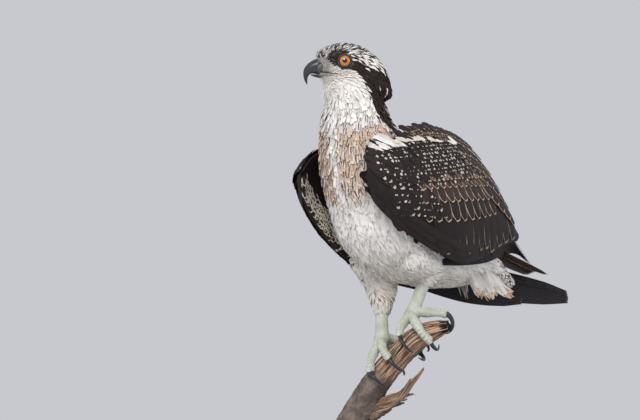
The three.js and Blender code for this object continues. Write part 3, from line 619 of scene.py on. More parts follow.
def vane_piece(name, points, own, look, material, replaces=()):
    """One joined mesh of many vanes, with their colours, marks and places on the map."""
    vanes, rows, columns, _ = points.shape
    each = rows * columns
    grid = np.arange(each).reshape(rows, columns)
    quads = np.stack([grid[:-1, :-1], grid[:-1, 1:], grid[1:, 1:], grid[1:, :-1]], -1).reshape(-1, 4)
    faces = (np.arange(vanes)[:, None, None] * each + quads).reshape(-1, 4)
    attributes = {"vane": own.reshape(-1, 3)}
    for key in ("base", "tip", "mark"):
        attributes[key] = np.repeat(look[key], each, axis=0)
    spread = np.stack([own[..., 0] / 2, own[..., 1] - 0.5], -1) * PATCH
    uv = (look["uv"][:, None, None] + spread).reshape(-1, 2)
    return make_piece(name, points.reshape(-1, 3), faces, material, replaces, attributes, uv)


# Widths of a vane from root to tip, as shares of its full width.
ROUND_TIP = (0.45, 0.9, 1.0, 0.95, 0.62)
SHARP_TIP = (0.6, 1.0, 0.9, 0.6, 0.12)

# %% [markdown]
# The markings come from rules in the bird's own frames, for its head, its spine and its wings, so the skin,
# its feathers and both sides agree. A young osprey has a white head with a dark mask, a buff band of
# streaked feathers on the breast, a white belly and dark upperparts whose feathers have pale rims.

# %% Colours of the plumage
WHITE = srgb(236, 232, 226)
CREAM = srgb(226, 216, 200)
GREY_WHITE = srgb(205, 203, 203)
BUFF = srgb(206, 160, 118)
PALE_BUFF = srgb(226, 198, 168)
WARM_BUFF = srgb(216, 150, 92)
DULL_BUFF = srgb(172, 140, 114)
DARK = srgb(48, 37, 34)
RIM = srgb(186, 160, 136)
LORE_GREY = srgb(140, 134, 130)


def paint_over(colours, share, colour):
    """Colours laid over by another one where share is 1."""
    return mix(colours, colour, share[:, None])


# %% [markdown]
# A few helpers say where a point lies: in the head's frame, along and round the spine, and off a thigh. The
# mask's upper and lower lines were read off the photo, from the nape to the bill.

# %% Where a point lies on the bird
MASK_TOP = [-47, -36, -27, -14, 4, 8, 22, 28, 34], [-12, -9, -4, 1, 7, 17, 19, 15, 8]  # x, then z
MASK_FOOT = [-36, -28, -25, -18, -11, -4, 3, 12, 20, 30], [-62, -54, -42, -30, -20, -9, -4, -5, -1, 6]


def head_marks(points):
    """How much points belong to the mask, to the crown and to the crown's middle, from 0 to 1."""
    x, y, z = world_to_head(points).T
    top = np.interp(x, *MASK_TOP)
    foot = np.interp(x, *MASK_FOOT)
    mask = fade(-2.5, 1.5, top - z) * fade(-2.5, 2.5, z - foot) * fade(33, 30, x)
    patch = fade(1.25, 0.7, np.hypot((x + 21) / 6.5, (z + 1) / 4.2)) * fade(8, 14, abs(y))
    middle = fade(14, 7, abs(y)) * fade(0, 5, z - top)
    crown = fade(0, 4, z - top)
    return np.clip(mask - patch, 0, 1), crown, middle


def body_place(points):
    """Where points lie along the spine, from 0 to 1, and round it, in degrees from the breast."""
    t = shares(240)
    at, way, front, _ = spine_at(t)
    finder = KDTree(len(t))
    for i, point in enumerate(at):
        finder.insert(Vector(point), i)
    finder.balance()
    found = np.array([finder.find((p[0], 0, p[2]))[1] for p in points])
    ahead = dot(points - at[found], front[found])
    return t[found], np.degrees(np.arctan2(abs(points[:, 1]), ahead)), way[found]


def thigh_place(points):
    """How far points stand off the nearer thigh's surface, how far down they lie, and the thigh's way."""
    best = np.full(len(points), 1e9)
    down, ways = np.zeros(len(points)), np.zeros((len(points), 3))
    for leg in LEGS.values():
        path = thigh_path(leg, 40)
        way = tangents(path)
        gaps = np.linalg.norm(points[:, None] - path[None], axis=2)
        nearest = gaps.argmin(1)
        gap = gaps.min(1) - thigh_radius(40)[nearest]
        closer = gap < best
        best[closer], down[closer], ways[closer] = gap[closer], nearest[closer] / 39, way[nearest[closer]]
    return best, down, ways


# %% [markdown]
# One function decides all that a body feather needs: the region of its root, then its colours and marks,
# then its size and its lie. A feather is dark or pale as a whole, by chance, as on the bird.

# %% A body feather's colours, size and lie
BAND_FOOT = 381  # the height where the breast's band ends, in the middle
NECK_TOP = np.array([-82, 0, 503])


def plumage(points):
    """Everything that a body feather needs to know at its root."""
    count = len(points)
    x, y, z = points.T
    head_x, _, head_z = world_to_head(points).T
    t, angle, spine_way = body_place(points)
    gap, down, leg_way = thigh_place(points)
    seed, other = random.random(count), random.random(count)
    face = np.column_stack([-np.ones(count), 0 * x, -np.interp(head_x, [-40, 0, 36], [1.7, 0.35, 0.0])])
    face_long = np.interp(head_x, [-40, -10, 10, 30, 38], [18, 12, 8, 5.0, 3.6])
    shown = points + unit(face) @ HEAD_AXES * 0.6 * face_long[:, None]
    mask, crown, middle = head_marks(shown)
    on_head = fade(-14, 14, dot(points - NECK_TOP, unit(np.array([-0.12, 0.05, 1.0]))))
    on_leg = fade(2.0, -2.0, gap) * fade(0.3, 0.5, down)
    nape_from = np.interp(z, [445, 460, 475, 490, 503], [128, 122, 103, 85, 78])
    nape = fade(-7, 7, angle - nape_from) * fade(395, 430, z) * (1 - on_head)
    back = fade(112, 126, angle) * fade(470, 452, z)
    bottom = BAND_FOOT + 0.35 * abs(y)
    band = fade(-7, 8, z - bottom) * fade(485, 452, z) * fade(118, 96, angle) * fade(3.5, 8.0, abs(y))
    streaky = fade(-4, 8, z - bottom) * fade(503, 478, z) * fade(124, 104, angle) * fade(2.0, 5.0, abs(y))
    belly = fade(60, 20, angle) * fade(0.42, 0.6, t)

    base = np.tile(WHITE, (count, 1))
    base = paint_over(base, 0.5 * fade(500, 540, z) * fade(20, -10, head_z), CREAM)
    lores = on_head * fade(26, 34, head_x) * fade(-14, -6, head_z) * fade(16, 8, head_z)
    base = paint_over(base, 0.75 * lores, LORE_GREY)
    base = paint_over(base, (0.2 + 0.7 * seed) * np.maximum(belly, on_leg), CREAM)
    base = paint_over(base, 0.5 * (other > 0.8) * np.maximum(belly, on_leg), GREY_WHITE)
    base = paint_over(base, band * (0.35 + 0.55 * seed), DULL_BUFF)
    tip = paint_over(base, band * 0.75, np.where((other > 0.6)[:, None], WHITE, PALE_BUFF))
    side_glow = band * fade(60, 92, angle) * fade(430, 450, z)
    tip = paint_over(tip, side_glow * 0.8, WARM_BUFF)
    dark = np.clip(on_head * mask + nape + back, 0, 1)
    dark = np.where(seed < 0.98 * dark, 1.0, 0.0)
    light_streak = (on_head > 0.5) & (crown > 0.3) & (seed < 0.34 + 0.4 * middle)
    dark = np.where(light_streak, 1.0, dark)
    base = paint_over(base, dark, DARK)
    rimmed = np.where(back > 0.5, 0.8, 0.12) * dark
    tip = paint_over(tip, dark, DARK)
    tip = paint_over(tip, rimmed, RIM)

    streak = streaky * (0.6 + 0.4 * (other > 0.3)) * (seed < mix(0.5, 0.8, band)) * (1 - dark)
    rim = np.where(band > 0.3, 0.45, 0.0) + np.where(back * dark > 0.5, 0.22, 0.0)
    mark = np.column_stack([rim, streak, np.zeros(count)])

    length = np.interp(z, [240, 330, 400, 450, 480, 500], [30, 34, 27, 22, 19, 17])
    length = mix(length, face_long, on_head)
    length = mix(length, np.interp(down, [0.3, 0.6, 1.0], [24, 16, 9]), on_leg)
    throat = on_head * fade(-8, -24, head_z) * fade(34, 20, head_x)
    length = mix(length, 17.0, throat)
    silky = fade(395, 360, z) * (1 - on_head)
    length = length * mix(1, 1.25, silky)
    width = length * mix(mix(0.26, 0.15, silky), 0.24, on_head)
    width = mix(width, length * 0.22, on_leg)
    high = mix(BODY_COAT + 0.6, HEAD_COAT + 0.5, on_head)
    high = mix(high, LEG_COAT + 0.4, on_leg)
    high = high + (seed - 0.5) * 1.2
    throat_way = unit(np.array([-0.55, 0.0, -1.0]))
    face = unit(mix(unit(face), throat_way, throat[:, None]))
    ways = mix(spine_way, face @ HEAD_AXES, on_head[:, None])
    ways = mix(ways, leg_way, on_leg[:, None])
    ways = unit(ways + 0.16 * random.normal(size=(count, 3)))
    look = {"length": length * (0.85 + 0.3 * other), "width": width, "low": 0.25 * high, "high": high,
            "seed": seed, "base": base, "tip": tip, "mark": mark,
            "on_head": on_head, "on_leg": on_leg, "t": t}
    return look, ways


EYE_AT = np.array([12.0, 18.5, 6.0])
LEG_TOP, BARE_ROUND_EYE = 282, 8.4


def root_spacing(points):
    """How far apart roots stand: close on the face and lower leg, wider down the body."""
    head_x, head_y, head_z = world_to_head(points).T
    on_head = fade(-14, 14, dot(points - NECK_TOP, (0.12, 0, 1)))
    gap = np.interp(points[:, 2], [300, 360, 420, 500], [3.2, 3.4, 4.0, 3.4])
    gap = mix(gap, np.interp(head_x, [-30, 10, 36], [3.0, 2.0, 1.4]), on_head)
    gap = np.where((points[:, 2] < LEG_TOP) & (points[:, 0] < 60), 2.2, gap)
    eye = np.hypot(head_x - EYE_AT[0], head_z - EYE_AT[2])
    gap = np.where((on_head > 0.5) & (eye < BARE_ROUND_EYE) & (abs(head_y) > 12), 0, gap)
    return np.where((on_head > 0.5) & (head_x > FOREHEAD_X), 0, gap)


# %% The coat of the body, neck, head and thighs
marking = skin.data.attributes.new("marking", "FLOAT_VECTOR", "POINT")
marking.data.foreach_set("vector", plumage(ground.points)[0]["base"].astype(np.float32).ravel())
COAT_TRIES = 150000
roots = ground.scatter(root_spacing, COAT_TRIES)
look, ways = plumage(roots)
_, _, root_faces = ground.near(roots)
look["uv"] = ground.uv[root_faces]
regions = {
    "head": look["on_head"] > 0.5,
    "legs": (look["on_head"] <= 0.5) & (look["on_leg"] > 0.5),
}
rest = ~regions["head"] & ~regions["legs"]
regions["breast"] = rest & (look["t"] < 0.45)
regions["belly"] = rest & (look["t"] >= 0.45)
for region, chosen in regions.items():
    some = {key: values[chosen] for key, values in look.items()}
    steps = 4 if region in ("head", "legs") else 6
    path, outs = walk(ground, roots[chosen], ways[chosen], some["length"], steps)
    points, own = blade(path, outs, some, 3, ROUND_TIP if region == "breast" else SHARP_TIP, 1.6, 0.25)
    vane_piece(f"{region}_feathers", points, own, some, PALE_PLUMAGE)
print("the coat of the body has", len(roots), "feathers")

# %% [markdown]
# A closed wing is a shield of feathers in rows. Each row's feathers run from a first to a last one, and the
# rows above cover their roots: dark flight feathers lie lowest, then coverts with pale rims, then small
# ones, some with a pale speck. The rows hug the same curved face as the part's wing.

# %% The wing's face, as in the part
WING = [  # x, low, high, out at the low edge, in the middle and at the high edge
    [-119, 398, 420, 58, 62, 56], [-106, 368, 434, 62, 75, 55], [-75, 341, 444, 68, 84, 52],
    [-35, 318, 452, 71, 88, 46], [5, 301, 456, 71, 87, 40], [45, 292, 451, 66, 80, 34],
    [85, 296, 437, 56, 68, 28], [125, 306, 408, 45, 54, 22], [160, 314, 366, 34, 40, 18],
    [190, 318, 334, 22, 25, 16],
]
WING_THICK, WING_EDGE = 11, 1.2
WRIST = np.array([-118.0, 0.0, 397.0])
FAR_DROOP = math.radians(7)
FAR_DROP = 16
wing_u = shares(400)
wing_table = between(WING, wing_u)
print("the wing's face is", round(np.ptp(wing_table[:, 0])), "mm long")


def wing_sizes(x):
    return [np.interp(x, wing_table[:, 0], wing_table[:, k]) for k in range(1, 6)]


def outward(v, out_low, out_mid, out_high):
    """How far out the wing's face lies at a share v of its height: one bow through three sizes."""
    middle = 2 * out_mid - (out_low + out_high) / 2
    return (1 - v) ** 2 * out_low + 2 * v * (1 - v) * middle + v * v * out_high


def wing_depth(v):
    return WING_THICK * np.sin(np.pi * mix(0.04, 0.96, v)) ** 0.6


def on_wing(x, z):
    """The outer face of the left wing at a place in its side view."""
    low, high, *outs = wing_sizes(x)
    v = np.clip((z - low) / (high - low), -0.2, 1.1)
    return np.stack([x, -outward(v, *outs), z], -1)


def wing_out(x, z):
    along = on_wing(x + 3, z) - on_wing(x - 3, z)
    rise = on_wing(x, z + 3) - on_wing(x, z - 3)
    return unit(np.cross(along, rise))


def wing_core_rings(count=60, across=22):
    """The wing's own body under the feathers: its outer face, and an inner one with thin edges."""
    u = shares(count)[:, None]
    x, low, high, *outs = (column[:, None] for column in between(WING, u[:, 0]).T)
    v = shares(across)[None]
    out, z = outward(v, *outs), mix(low, high, v)
    taper = np.sqrt(np.clip(np.minimum(u, 1 - u) * 8, 0, 1))
    inward = WING_EDGE + wing_depth(v) * taper
    outer = np.stack([x + 0 * v, -out, z], -1)
    inner = np.stack([x + 0 * v, inward - out, z], -1)[:, ::-1]
    return np.concatenate([outer, inner], axis=1)


def to_far_side(points):
    """The left wing's points mirrored to the right side, with a lower shoulder and a drooping tip."""
    share = np.interp(points[..., 0], wing_table[:, 0], wing_u)
    low, high = wing_sizes(points[..., 0])[:2]
    tall = np.clip((points[..., 2] - low) / (high - low), 0, 1.3)
    lowered = FAR_DROP * np.clip(1 - 4 * share, 0, 1) * tall
    x, y, z = np.moveaxis((points - lowered[..., None] * (0, 0, 1)) * (1, -1, 1) - WRIST, -1, 0)
    c, s = math.cos(FAR_DROOP), math.sin(FAR_DROOP)
    return WRIST + np.stack([c * x + s * z, y, c * z - s * x], -1)


WING_SIDES = (("left", lambda points: points), ("right", to_far_side))


# %% How a row of feathers is made and laid
WING_ARCH = 0.12


def feather_row(count, first, last, length, width, lift, slant, colours, rim=0, bow=0, spot=0, jitter=0.06):
    """A row whose tips run from first to last in the side view. slant is its way back per mm of fall."""
    s = shares(count) + jitter / count * random.normal(size=count)
    tip = mix(np.array(first, float), np.array(last, float), s[:, None])
    tip[:, 1] -= bow * np.sin(np.pi * np.clip(s, 0, 1))
    sizes = 1 + jitter * random.normal(size=count)
    long = mix(*length, s) * sizes if isinstance(length, tuple) else length * sizes
    lean = mix(*slant, s) if isinstance(slant, tuple) else slant + 0 * s
    root = tip - unit(np.column_stack([lean, -np.ones(count)])) * long[:, None]
    base, end = (np.tile(colour, (count, 1)) for colour in colours)
    seed = random.random(count)
    look = {
        "length": long, "width": width * sizes, "low": lift - 0.8 + 0 * s, "high": lift + 0.6 + 0.5 * seed,
        "seed": seed, "base": base * (0.85 + 0.3 * random.random((count, 1))), "tip": end,
        "mark": np.column_stack([rim + 0 * s, 0 * s, spot * (random.random(count) < 0.94)]),
    }
    return root, tip, look


def edge_row(x, above, lean, wild, *settings, **marks):
    """A row whose tips follow the wing's low edge at each x. wild is how much chance moves each feather."""
    count, low = len(x), wing_sizes(x)[0]
    look = feather_row(count, (0, 0), (1, 1), *settings, **marks)[2]
    chance = random.normal(size=(2, count)) if wild else np.zeros((2, count))
    lie = unit(np.column_stack([np.ones(count), np.gradient(low, x) - lean + 0.3 * wild * chance[0]]))
    tip = np.column_stack([x, low + above + 1.5 * wild * chance[1]])
    return tip - lie * look["length"][:, None], tip, look


def side_paths(rows, steps):
    """Several rows as one: x and z of the feathers' middle lines in the side view, and their look."""
    roots, tips, looks = zip(*rows)
    roots, tips = np.vstack(roots), np.vstack(tips)
    look = {key: np.concatenate([some[key] for some in looks]) for key in looks[0]}
    look["uv"] = np.column_stack([(roots[:, 0] + 140) / 350, (roots[:, 1] - 270) / 220])
    lines = mix(roots, tips, shares(steps)[:, None, None])
    return lines[..., 0], lines[..., 1], look


def lay_rows(rows, steps, columns, shape, ragged):
    """Vanes on the wing's outer face."""
    x, z, look = side_paths(rows, steps)
    return *blade(on_wing(x, z), wing_out(x, z), look, columns, shape, ragged, WING_ARCH), look


# %% [markdown]
# The rows are tables, read off the photo: how many feathers, where the first and the last tip lie, how long
# and wide the feathers are, how high they lie over the wing, how far back they lean, their two colours, how
# wide the pale rim is, and how far the row sags. A pair of numbers runs from the first feather to the last.

# %% The rows, from the flight feathers up
DEEP = srgb(40, 31, 30)
BROWN = srgb(82, 62, 50)
DUSKY = srgb(60, 46, 40)
LIGHT_BROWN = srgb(122, 98, 82)
PALE_RIM = srgb(196, 170, 146)
THIN_RIM = srgb(160, 138, 118)
LONG_VANE = (0.5, 0.85, 0.98, 1.0, 0.98, 0.9, 0.72, 0.3)
COVERT_VANE = (0.5, 0.85, 1.0, 1.0, 0.92, 0.72, 0.3)
flight_rows = [feather_row(*row) for row in (
    (12, (-66, 332), (122, 303), 62, 24, 0.6, (0.55, 0.62), (DEEP, DEEP), 0, 12),
    (9, (-4, 303), (106, 312), (60, 84), 17, 1.6, (0.42, 0.34), (DEEP, THIN_RIM), 0.1, 3),
    (4, (112, 306), (164, 322), (92, 74), 25, 2.2, (0.42, 0.62), (DEEP, THIN_RIM), 0.09, -2),
)]
covert_rows = [
    edge_row(np.linspace(-98, 60, 34) + 3 * k, 1.5 + 7 * k, 0.25, 0,
             20, 9, 1.6 + 0.6 * k, 0.8, (DEEP, DUSKY), 0.06)
    for k in range(3)
] + [feather_row(*row) for row in (
    (7, (-92, 368), (-40, 346), 42, 19, 2.0, 0.6, (DEEP, DUSKY)),
    (10, (-34, 344), (104, 352), (40, 44), 18, 2.6, (0.5, 0.4), (DEEP, PALE_RIM), 0.13, 3),
    (6, (-100, 388), (-52, 368), 34, 16, 2.8, 0.6, (DEEP, DUSKY)),
    (11, (-44, 366), (100, 370), 34, 16, 3.3, (0.5, 0.42), (DUSKY, PALE_RIM), 0.14),
    (13, (-50, 382), (92, 386), 30, 14, 3.9, (0.5, 0.45), (BROWN, PALE_RIM), 0.14, -1),
    (16, (-30, 392), (94, 396), 22, 10, 4.2, (0.5, 0.45), (LIGHT_BROWN, PALE_RIM), 0.16, -1),
)]
scapular_rows = [feather_row(*row) for row in (
    (5, (96, 372), (160, 338), 44, 21, 4.2, (0.7, 0.8), (DEEP, PALE_RIM), 0.12),
    (6, (78, 396), (152, 356), 36, 20, 4.8, (0.7, 0.85), (DEEP, PALE_RIM), 0.13, -3),
    (6, (60, 412), (138, 378), 30, 18, 5.4, (0.75, 0.9), (DUSKY, PALE_RIM), 0.14, -4),
    (7, (44, 426), (122, 398), 25, 16, 5.9, (0.8, 0.95), (DEEP, PALE_RIM), 0.14, -5),
    (9, (24, 440), (108, 416), 21, 13, 6.4, (0.9, 1.0), (DUSKY, RIM), 0.14, -6),
    (11, (-6, 448), (92, 430), 17, 11, 6.8, (1.0, 1.1), (DEEP, RIM), 0.16, -6),
)]
long_rows = flight_rows + covert_rows + scapular_rows
print("the long rows of a wing have", sum(len(row[0]) for row in long_rows), "feathers")

# %% [markdown]
# The shoulder is covered by many small feathers, and chance decides which of them end in a pale speck: few
# in front, more towards the back. Above them lie the mantle's rimmed scales and, along the wing's top, the
# loose white ends of the body's feathers.

# %% The rows of the shoulder
SPECK = srgb(206, 196, 184)
lesser_rows = []
for tall in shares(12):
    front, back = mix(np.array((-104, 388)), (-112, 426), tall), mix(np.array((88, 398)), (34, 439), tall)
    length, width, lift, slant, bow, spot = mix(
        np.array((15, 6.5, 4.2, 0.55, 5, 0.1)), (9, 4.8, 5.6, 0.8, -3, 0.16), tall)
    count = int(mix(44, 60, tall))
    row = feather_row(count, front, back, length, width, lift, slant, (DEEP, SPECK), 0, bow, spot, 0.6)
    share = mix(0.4, 0.8, fade(-70, -20, row[0][:, 0]) * fade(0, 0.5, tall))
    row[2]["mark"][:, 2] *= random.random(len(row[0])) < share
    lesser_rows.append(row)
lesser_rows = [
    feather_row(15, (-100 + 5 * k, 392 - 8 * k), (-50 + 8 * k, 388 - 8 * k), 15, 6, 3.4, 0.6,
                (DEEP, SPECK), 0, 0, 0.085, 0.9)
    for k in range(6)
] + lesser_rows
mantle_rows = [
    feather_row(16, (mix(-40, -34, t), mix(440, 449, t)), (mix(34, 22, t), mix(444, 452, t)), 11, 7, 6.0, 1.6,
                (DEEP, RIM), 0.2, -3, 0, 0.4)
    for t in shares(4)
]
white_rows = [feather_row(*row) for row in (
    (16, (-99, 425), (-58, 431), 13, 5, 6.2, (1.1, 1.4), (WHITE, WHITE), 0, -2, 0, 0.6),
    (16, (-72, 434), (16, 437), 10, 5, 6.8, (1.8, 2.4), (CREAM, WHITE), 0, -3, 0, 0.6),
    (5, (38, 434), (48, 435), 12, 6, 7.2, (1.2, 1.5), (WHITE, WHITE), 0, 0, 0, 0.4),
)]
print("a shoulder has", sum(len(row[0]) for row in lesser_rows), "small feathers")

# %% [markdown]
# The rows are laid on the near wing and the same ones, mirrored, on the far wing. Under them lies a dark
# core in the shape of the part's wing, so that no light falls through between two feathers.

# %% Both wings
for side, place in WING_SIDES:
    core_points, core_faces = loft(place(wing_core_rings()))
    deep, none = np.tile(DEEP, (len(core_points), 1)), 0 * core_points
    make_piece(f"{side}_wing_skin", core_points, core_faces, DARK_PLUMAGE, [f"wing_{side}"],
               {"base": deep, "tip": deep, "mark": none, "vane": none})
    for label, rows, steps, columns, shape, ragged in (
            ("flight_feathers", flight_rows, 16, 7, LONG_VANE, 0.1),
            ("coverts", covert_rows, 12, 7, COVERT_VANE, 0.15),
            ("scapulars", scapular_rows, 10, 7, COVERT_VANE, 0.2),
            ("dotted_coverts", lesser_rows, 6, 5, COVERT_VANE, 0.2),
            ("mantle_scales", mantle_rows, 6, 5, COVERT_VANE, 0.3)):
        points, own, row_look = lay_rows(rows, steps, columns, shape, ragged)
        vane_piece(f"{side}_wing_{label}", place(points), own, row_look, DARK_PLUMAGE)
    points, own, row_look = lay_rows(white_rows if side == "left" else white_rows[1:], 6, 5, SHARP_TIP, 1.0)
    vane_piece(f"{side}_wing_white_tufts", place(points), own, row_look, PALE_PLUMAGE)

# %% [markdown]
# Between breast and far wing the wing's inner face shows: small cream feathers with dark middles along its
# leading edge. They are laid on that face in rows that follow the wing's low edge, the same on both sides.

# %% Feathers inside the wings' leading edges
inner_rows = [
    edge_row(np.linspace(-113, 40, 44) + 2 * k, 9 + 5 * k, 0.2, 1,
             12, 7.5, -1.4 - 0.5 * k, 0.8, (DARK, CREAM), rim=0.4, jitter=0.3)
    for k in range(6)
]
x, z, row_look = side_paths(inner_rows, 7)
low, high = wing_sizes(x)[:2]
path = on_wing(x, z)
path[..., 1] += WING_EDGE + wing_depth(np.clip((z - low) / (high - low), 0, 1)) + 0.8
row_look["low"], row_look["high"] = 0 * row_look["low"], 0 * row_look["high"] + 1.6
points, own = blade(path, (0, 1.0, 0) + 0 * path, row_look, 5, COVERT_VANE, 0.3, WING_ARCH)
for side, place in WING_SIDES:
    vane_piece(f"{side}_wing_lining", place(points), own, row_look, DARK_PLUMAGE)

# %% [markdown]
# The long feathers of hand and tail are the stiffest. Each is one slightly arched blade along its own curve,
# and they lie in a stack like a closed fan, the outermost underneath.

# %% Flight feathers of the hands
def fan(first, last, count):
    """Points along the middles of the feathers of a fan, between its first and its last one."""
    first, last = np.array(first, float), np.array(last, float)
    return [curve(mix(first, last, k / (count - 1)), 26) for k in range(count)]


def even_look(seed, length, width, high, base, tip, rim, spot, uv):
    """The look of vanes that share their sizes and their rim."""
    none = 0 * seed
    return {"length": none + length, "width": none + width, "low": none, "high": none + high, "seed": seed,
            "base": none[:, None] + base, "tip": none[:, None] + tip,
            "mark": np.column_stack([none + rim, none, none + spot]), "uv": uv}


def flight_look(count, length, width, base, tip, rim):
    seed = random.random(count)
    uv = np.column_stack([np.linspace(0.1, 0.9, count), np.full(count, 0.5)])
    return even_look(seed, length, width, 0.8, base * (0.9 + 0.2 * seed[:, None]), tip, rim, 0, uv)


FLIGHT_VANE = (0.55, 0.8, 0.92, 1.0, 1.0, 0.98, 0.95, 0.88, 0.72, 0.3)
HANDS = {
    "left": {"fans": [
        ([[62, -60, 306], [110, -46, 318], [160, -26, 326], [212, 2, 316]],
         [[20, -62, 296], [96, -50, 302], [190, -10, 312], [282, 34, 288]], 9)],
        "outs": [(0, -1, 0.1), (0.2, -0.5, 1)], "layer": 0.8},
    "right": {"fans": [
        ([[40, 72, 290], [100, 60, 272], [160, 40, 255], [236, 14, 243]],
         [[30, 72, 288], [96, 60, 270], [156, 38, 252], [232, 10, 241]], 4),
        ([[20, 75, 296], [110, 62, 286], [214, 30, 268], [310, 6, 250]],
         [[0, 76, 285], [100, 64, 268], [200, 28, 254], [308, 4, 242]], 5)],
        "outs": [(0, 1, 0.1), (0, 1, 0.1)], "layer": 0.7},
}
HAND_WIDE = 25
SLATE = srgb(38, 34, 37)
DULL_RIM = srgb(78, 66, 60)
for side, hand in HANDS.items():
    paths = np.concatenate([fan(*some) for some in hand["fans"]]).transpose(1, 0, 2)
    count = paths.shape[1]
    t = shares(len(paths))[:, None, None]
    first_out, last_out = np.array(hand["outs"], float)
    outs = unit(mix(first_out, last_out, t)) + 0 * paths
    paths = paths - unit(first_out) * hand["layer"] * np.arange(count)[:, None]
    hand_look = flight_look(count, 250, HAND_WIDE, SLATE, DULL_RIM, 0.03)
    points, own = blade(paths, outs, hand_look, 9, FLIGHT_VANE, 0.05, 0.1)
    vane_piece(f"{side}_primaries", points, own, hand_look, DARK_PLUMAGE,
               [f"primaries_{side}"])

# %% [markdown]
# The tail has twelve feathers in pairs. Each pair lies a little lower and further out than the one before.

# %% The tail
TAIL_ROOT, TAIL_TIP = np.array([96.0, 0, 334]), np.array([250.0, 0, 279])
TAIL_FAN = math.radians(0.4)
reach = TAIL_TIP - TAIL_ROOT
tail_paths = []
for pair in range(6):
    for side in (-1, 1):
        turn = side * pair * TAIL_FAN
        turned = np.array([reach[0] * math.cos(turn), reach[0] * math.sin(turn), reach[2]])
        root = TAIL_ROOT + (0, side * (2 + 1.9 * pair), -0.9 * pair - 0.3 * (side + 1))
        tail_paths.append(curve([root, root + turned / 2, root + turned], 26))
paths = np.array(tail_paths).transpose(1, 0, 2)
tail_look = flight_look(12, 165, 25, DUSKY, PALE_RIM, 0.07)
points, own = blade(paths, unit(np.array([0.3, 0, 1.0])) + 0 * paths, tail_look, 9, FLIGHT_VANE, 0.05, 0.08)
vane_piece("tail_feathers", points, own, tail_look, DARK_PLUMAGE, ["tail"])

# %% [markdown]
# Long loose feathers hang from the vent over the tail's root, white with buff ends, and the nape ends in
# shaggy locks. They are single blades in the air, not on the skin, so each gets a line of its own.

# %% Vent plumes and nape locks
VENT_PLUMES = [  # root, then tip
    ((96, -26, 280), (112, -32, 251)), ((112, -24, 279), (122, -29, 249)),
    ((128, -22, 278), (142, -27, 249)), ((140, -19, 277), (158, -22, 252)),
    ((150, -16, 275), (184, -18, 252)), ((134, -24, 276), (172, -26, 251)),
    ((120, 16, 278), (138, 19, 250)), ((146, 12, 276), (170, 13, 251)),
]


def plume_paths(plumes, each, spread):
    """Each plume as several strands that leave one root and part towards the tip."""
    root, tip = (np.repeat(np.array(plumes, float)[:, k], each, axis=0) for k in (0, 1))
    root = root + random.normal(size=root.shape) * spread * 0.8
    tip = tip + random.normal(size=tip.shape) * spread
    t = shares(8)[:, None, None]
    sag = np.array([3.0, 0, -4.0]) * np.sin(np.pi * t)
    return mix(root, tip, t) + sag


def strand_look(count, length, width, base, tip, spot):
    seed = random.random(count)
    uv = np.column_stack([random.random(count), random.random(count)]) * 0.9 + 0.05
    return even_look(seed, length, width, 0.3, base, tip, 0, spot * (0.7 + 0.5 * seed), uv)


vent_strands = plume_paths(VENT_PLUMES, 16, 3.2)
vent_outs = unit(np.stack(np.broadcast_arrays(-0.4, np.where(vent_strands[..., 1] < 0, -0.8, 0.8), -0.2), -1))
vent_look = strand_look(vent_strands.shape[1], 36, 5.5, WHITE, BUFF, 0.34)
points, own = blade(vent_strands, vent_outs, vent_look, 3, SHARP_TIP, 0.4, 0.1)
vane_piece("vent_plumes", points, own, vent_look, PALE_PLUMAGE)

nape_turn = np.radians(np.linspace(-62, 62, 34))
back = np.column_stack([-np.cos(nape_turn), np.sin(nape_turn), 0 * nape_turn])
nape_root = np.array([-14, 0, -8]) + back * 24
nape_tip = np.array([-12, 0, -34]) + back * (31 + 4 * random.random(34))[:, None]
nape_tip[:, 2] += 8 * random.random(34)
nape_paths = mix(head_to_world(nape_root), head_to_world(nape_tip), shares(6)[:, None, None])
nape_outs = (back @ HEAD_AXES) + 0 * nape_paths
nape_look = strand_look(34, 24, 6, DARK, DUSKY, 0.2)
points, own = blade(nape_paths, nape_outs, nape_look, 3, SHARP_TIP, 0.6, 0.2)
vane_piece("nape_locks", points, own, nape_look, PALE_PLUMAGE)

# %% [markdown]
# The bill is bare horn, smooth and hooked, with a soft grey cere at its root where the nostrils are. It is
# a loft along the same curve as the part's, only finer, and its colour changes from root to tip, so each
# point also carries its place in the head's frame for the finish to read.

# %% Finishes of bill and skin
def bill_finish():
    made = Finish("bill_horn", 0.32)
    x, _, z = made.parts("place")
    horn = made.colour(made.ramp(x, 40.5, 46.0), srgb(92, 97, 100), srgb(44, 47, 52))
    horn = made.colour(made.ramp(z, -9.0, -18.0), horn, srgb(26, 27, 31))
    streaks = made.noise(1.0, 4.0, made.stretched((160.0, 160.0, 700.0)))
    horn = made.colour(made.ramp(streaks, 0.35, 0.75, 0.0, 0.35), horn, srgb(84, 88, 92))
    made.paint(horn)
    made.bump(streaks, 0.08, 0.0005)
    return made.material


def skin_finish(name, first, second, roughness=0.6, scale=900.0):
    made = Finish(name, roughness)
    cells = made.node("ShaderNodeTexVoronoi", {"Vector": made.place(), "Scale": scale}).outputs["Distance"]
    cloud = made.noise(220.0, 4.0)
    tone = made.colour(made.ramp(cloud, 0.3, 0.7), first, second)
    made.paint(made.colour(made.ramp(cells, 0.0, 0.5, 0.35, 0.0), tone, second * 0.4))
    made.bump(cells, 0.35, 0.0004)
    return made.material


# %% [markdown]
# The bill's halves and the cere are lofts with flat undersides that meet at the gape. The upper half's
# rings turn with its curve, so that the hook keeps its thickness.

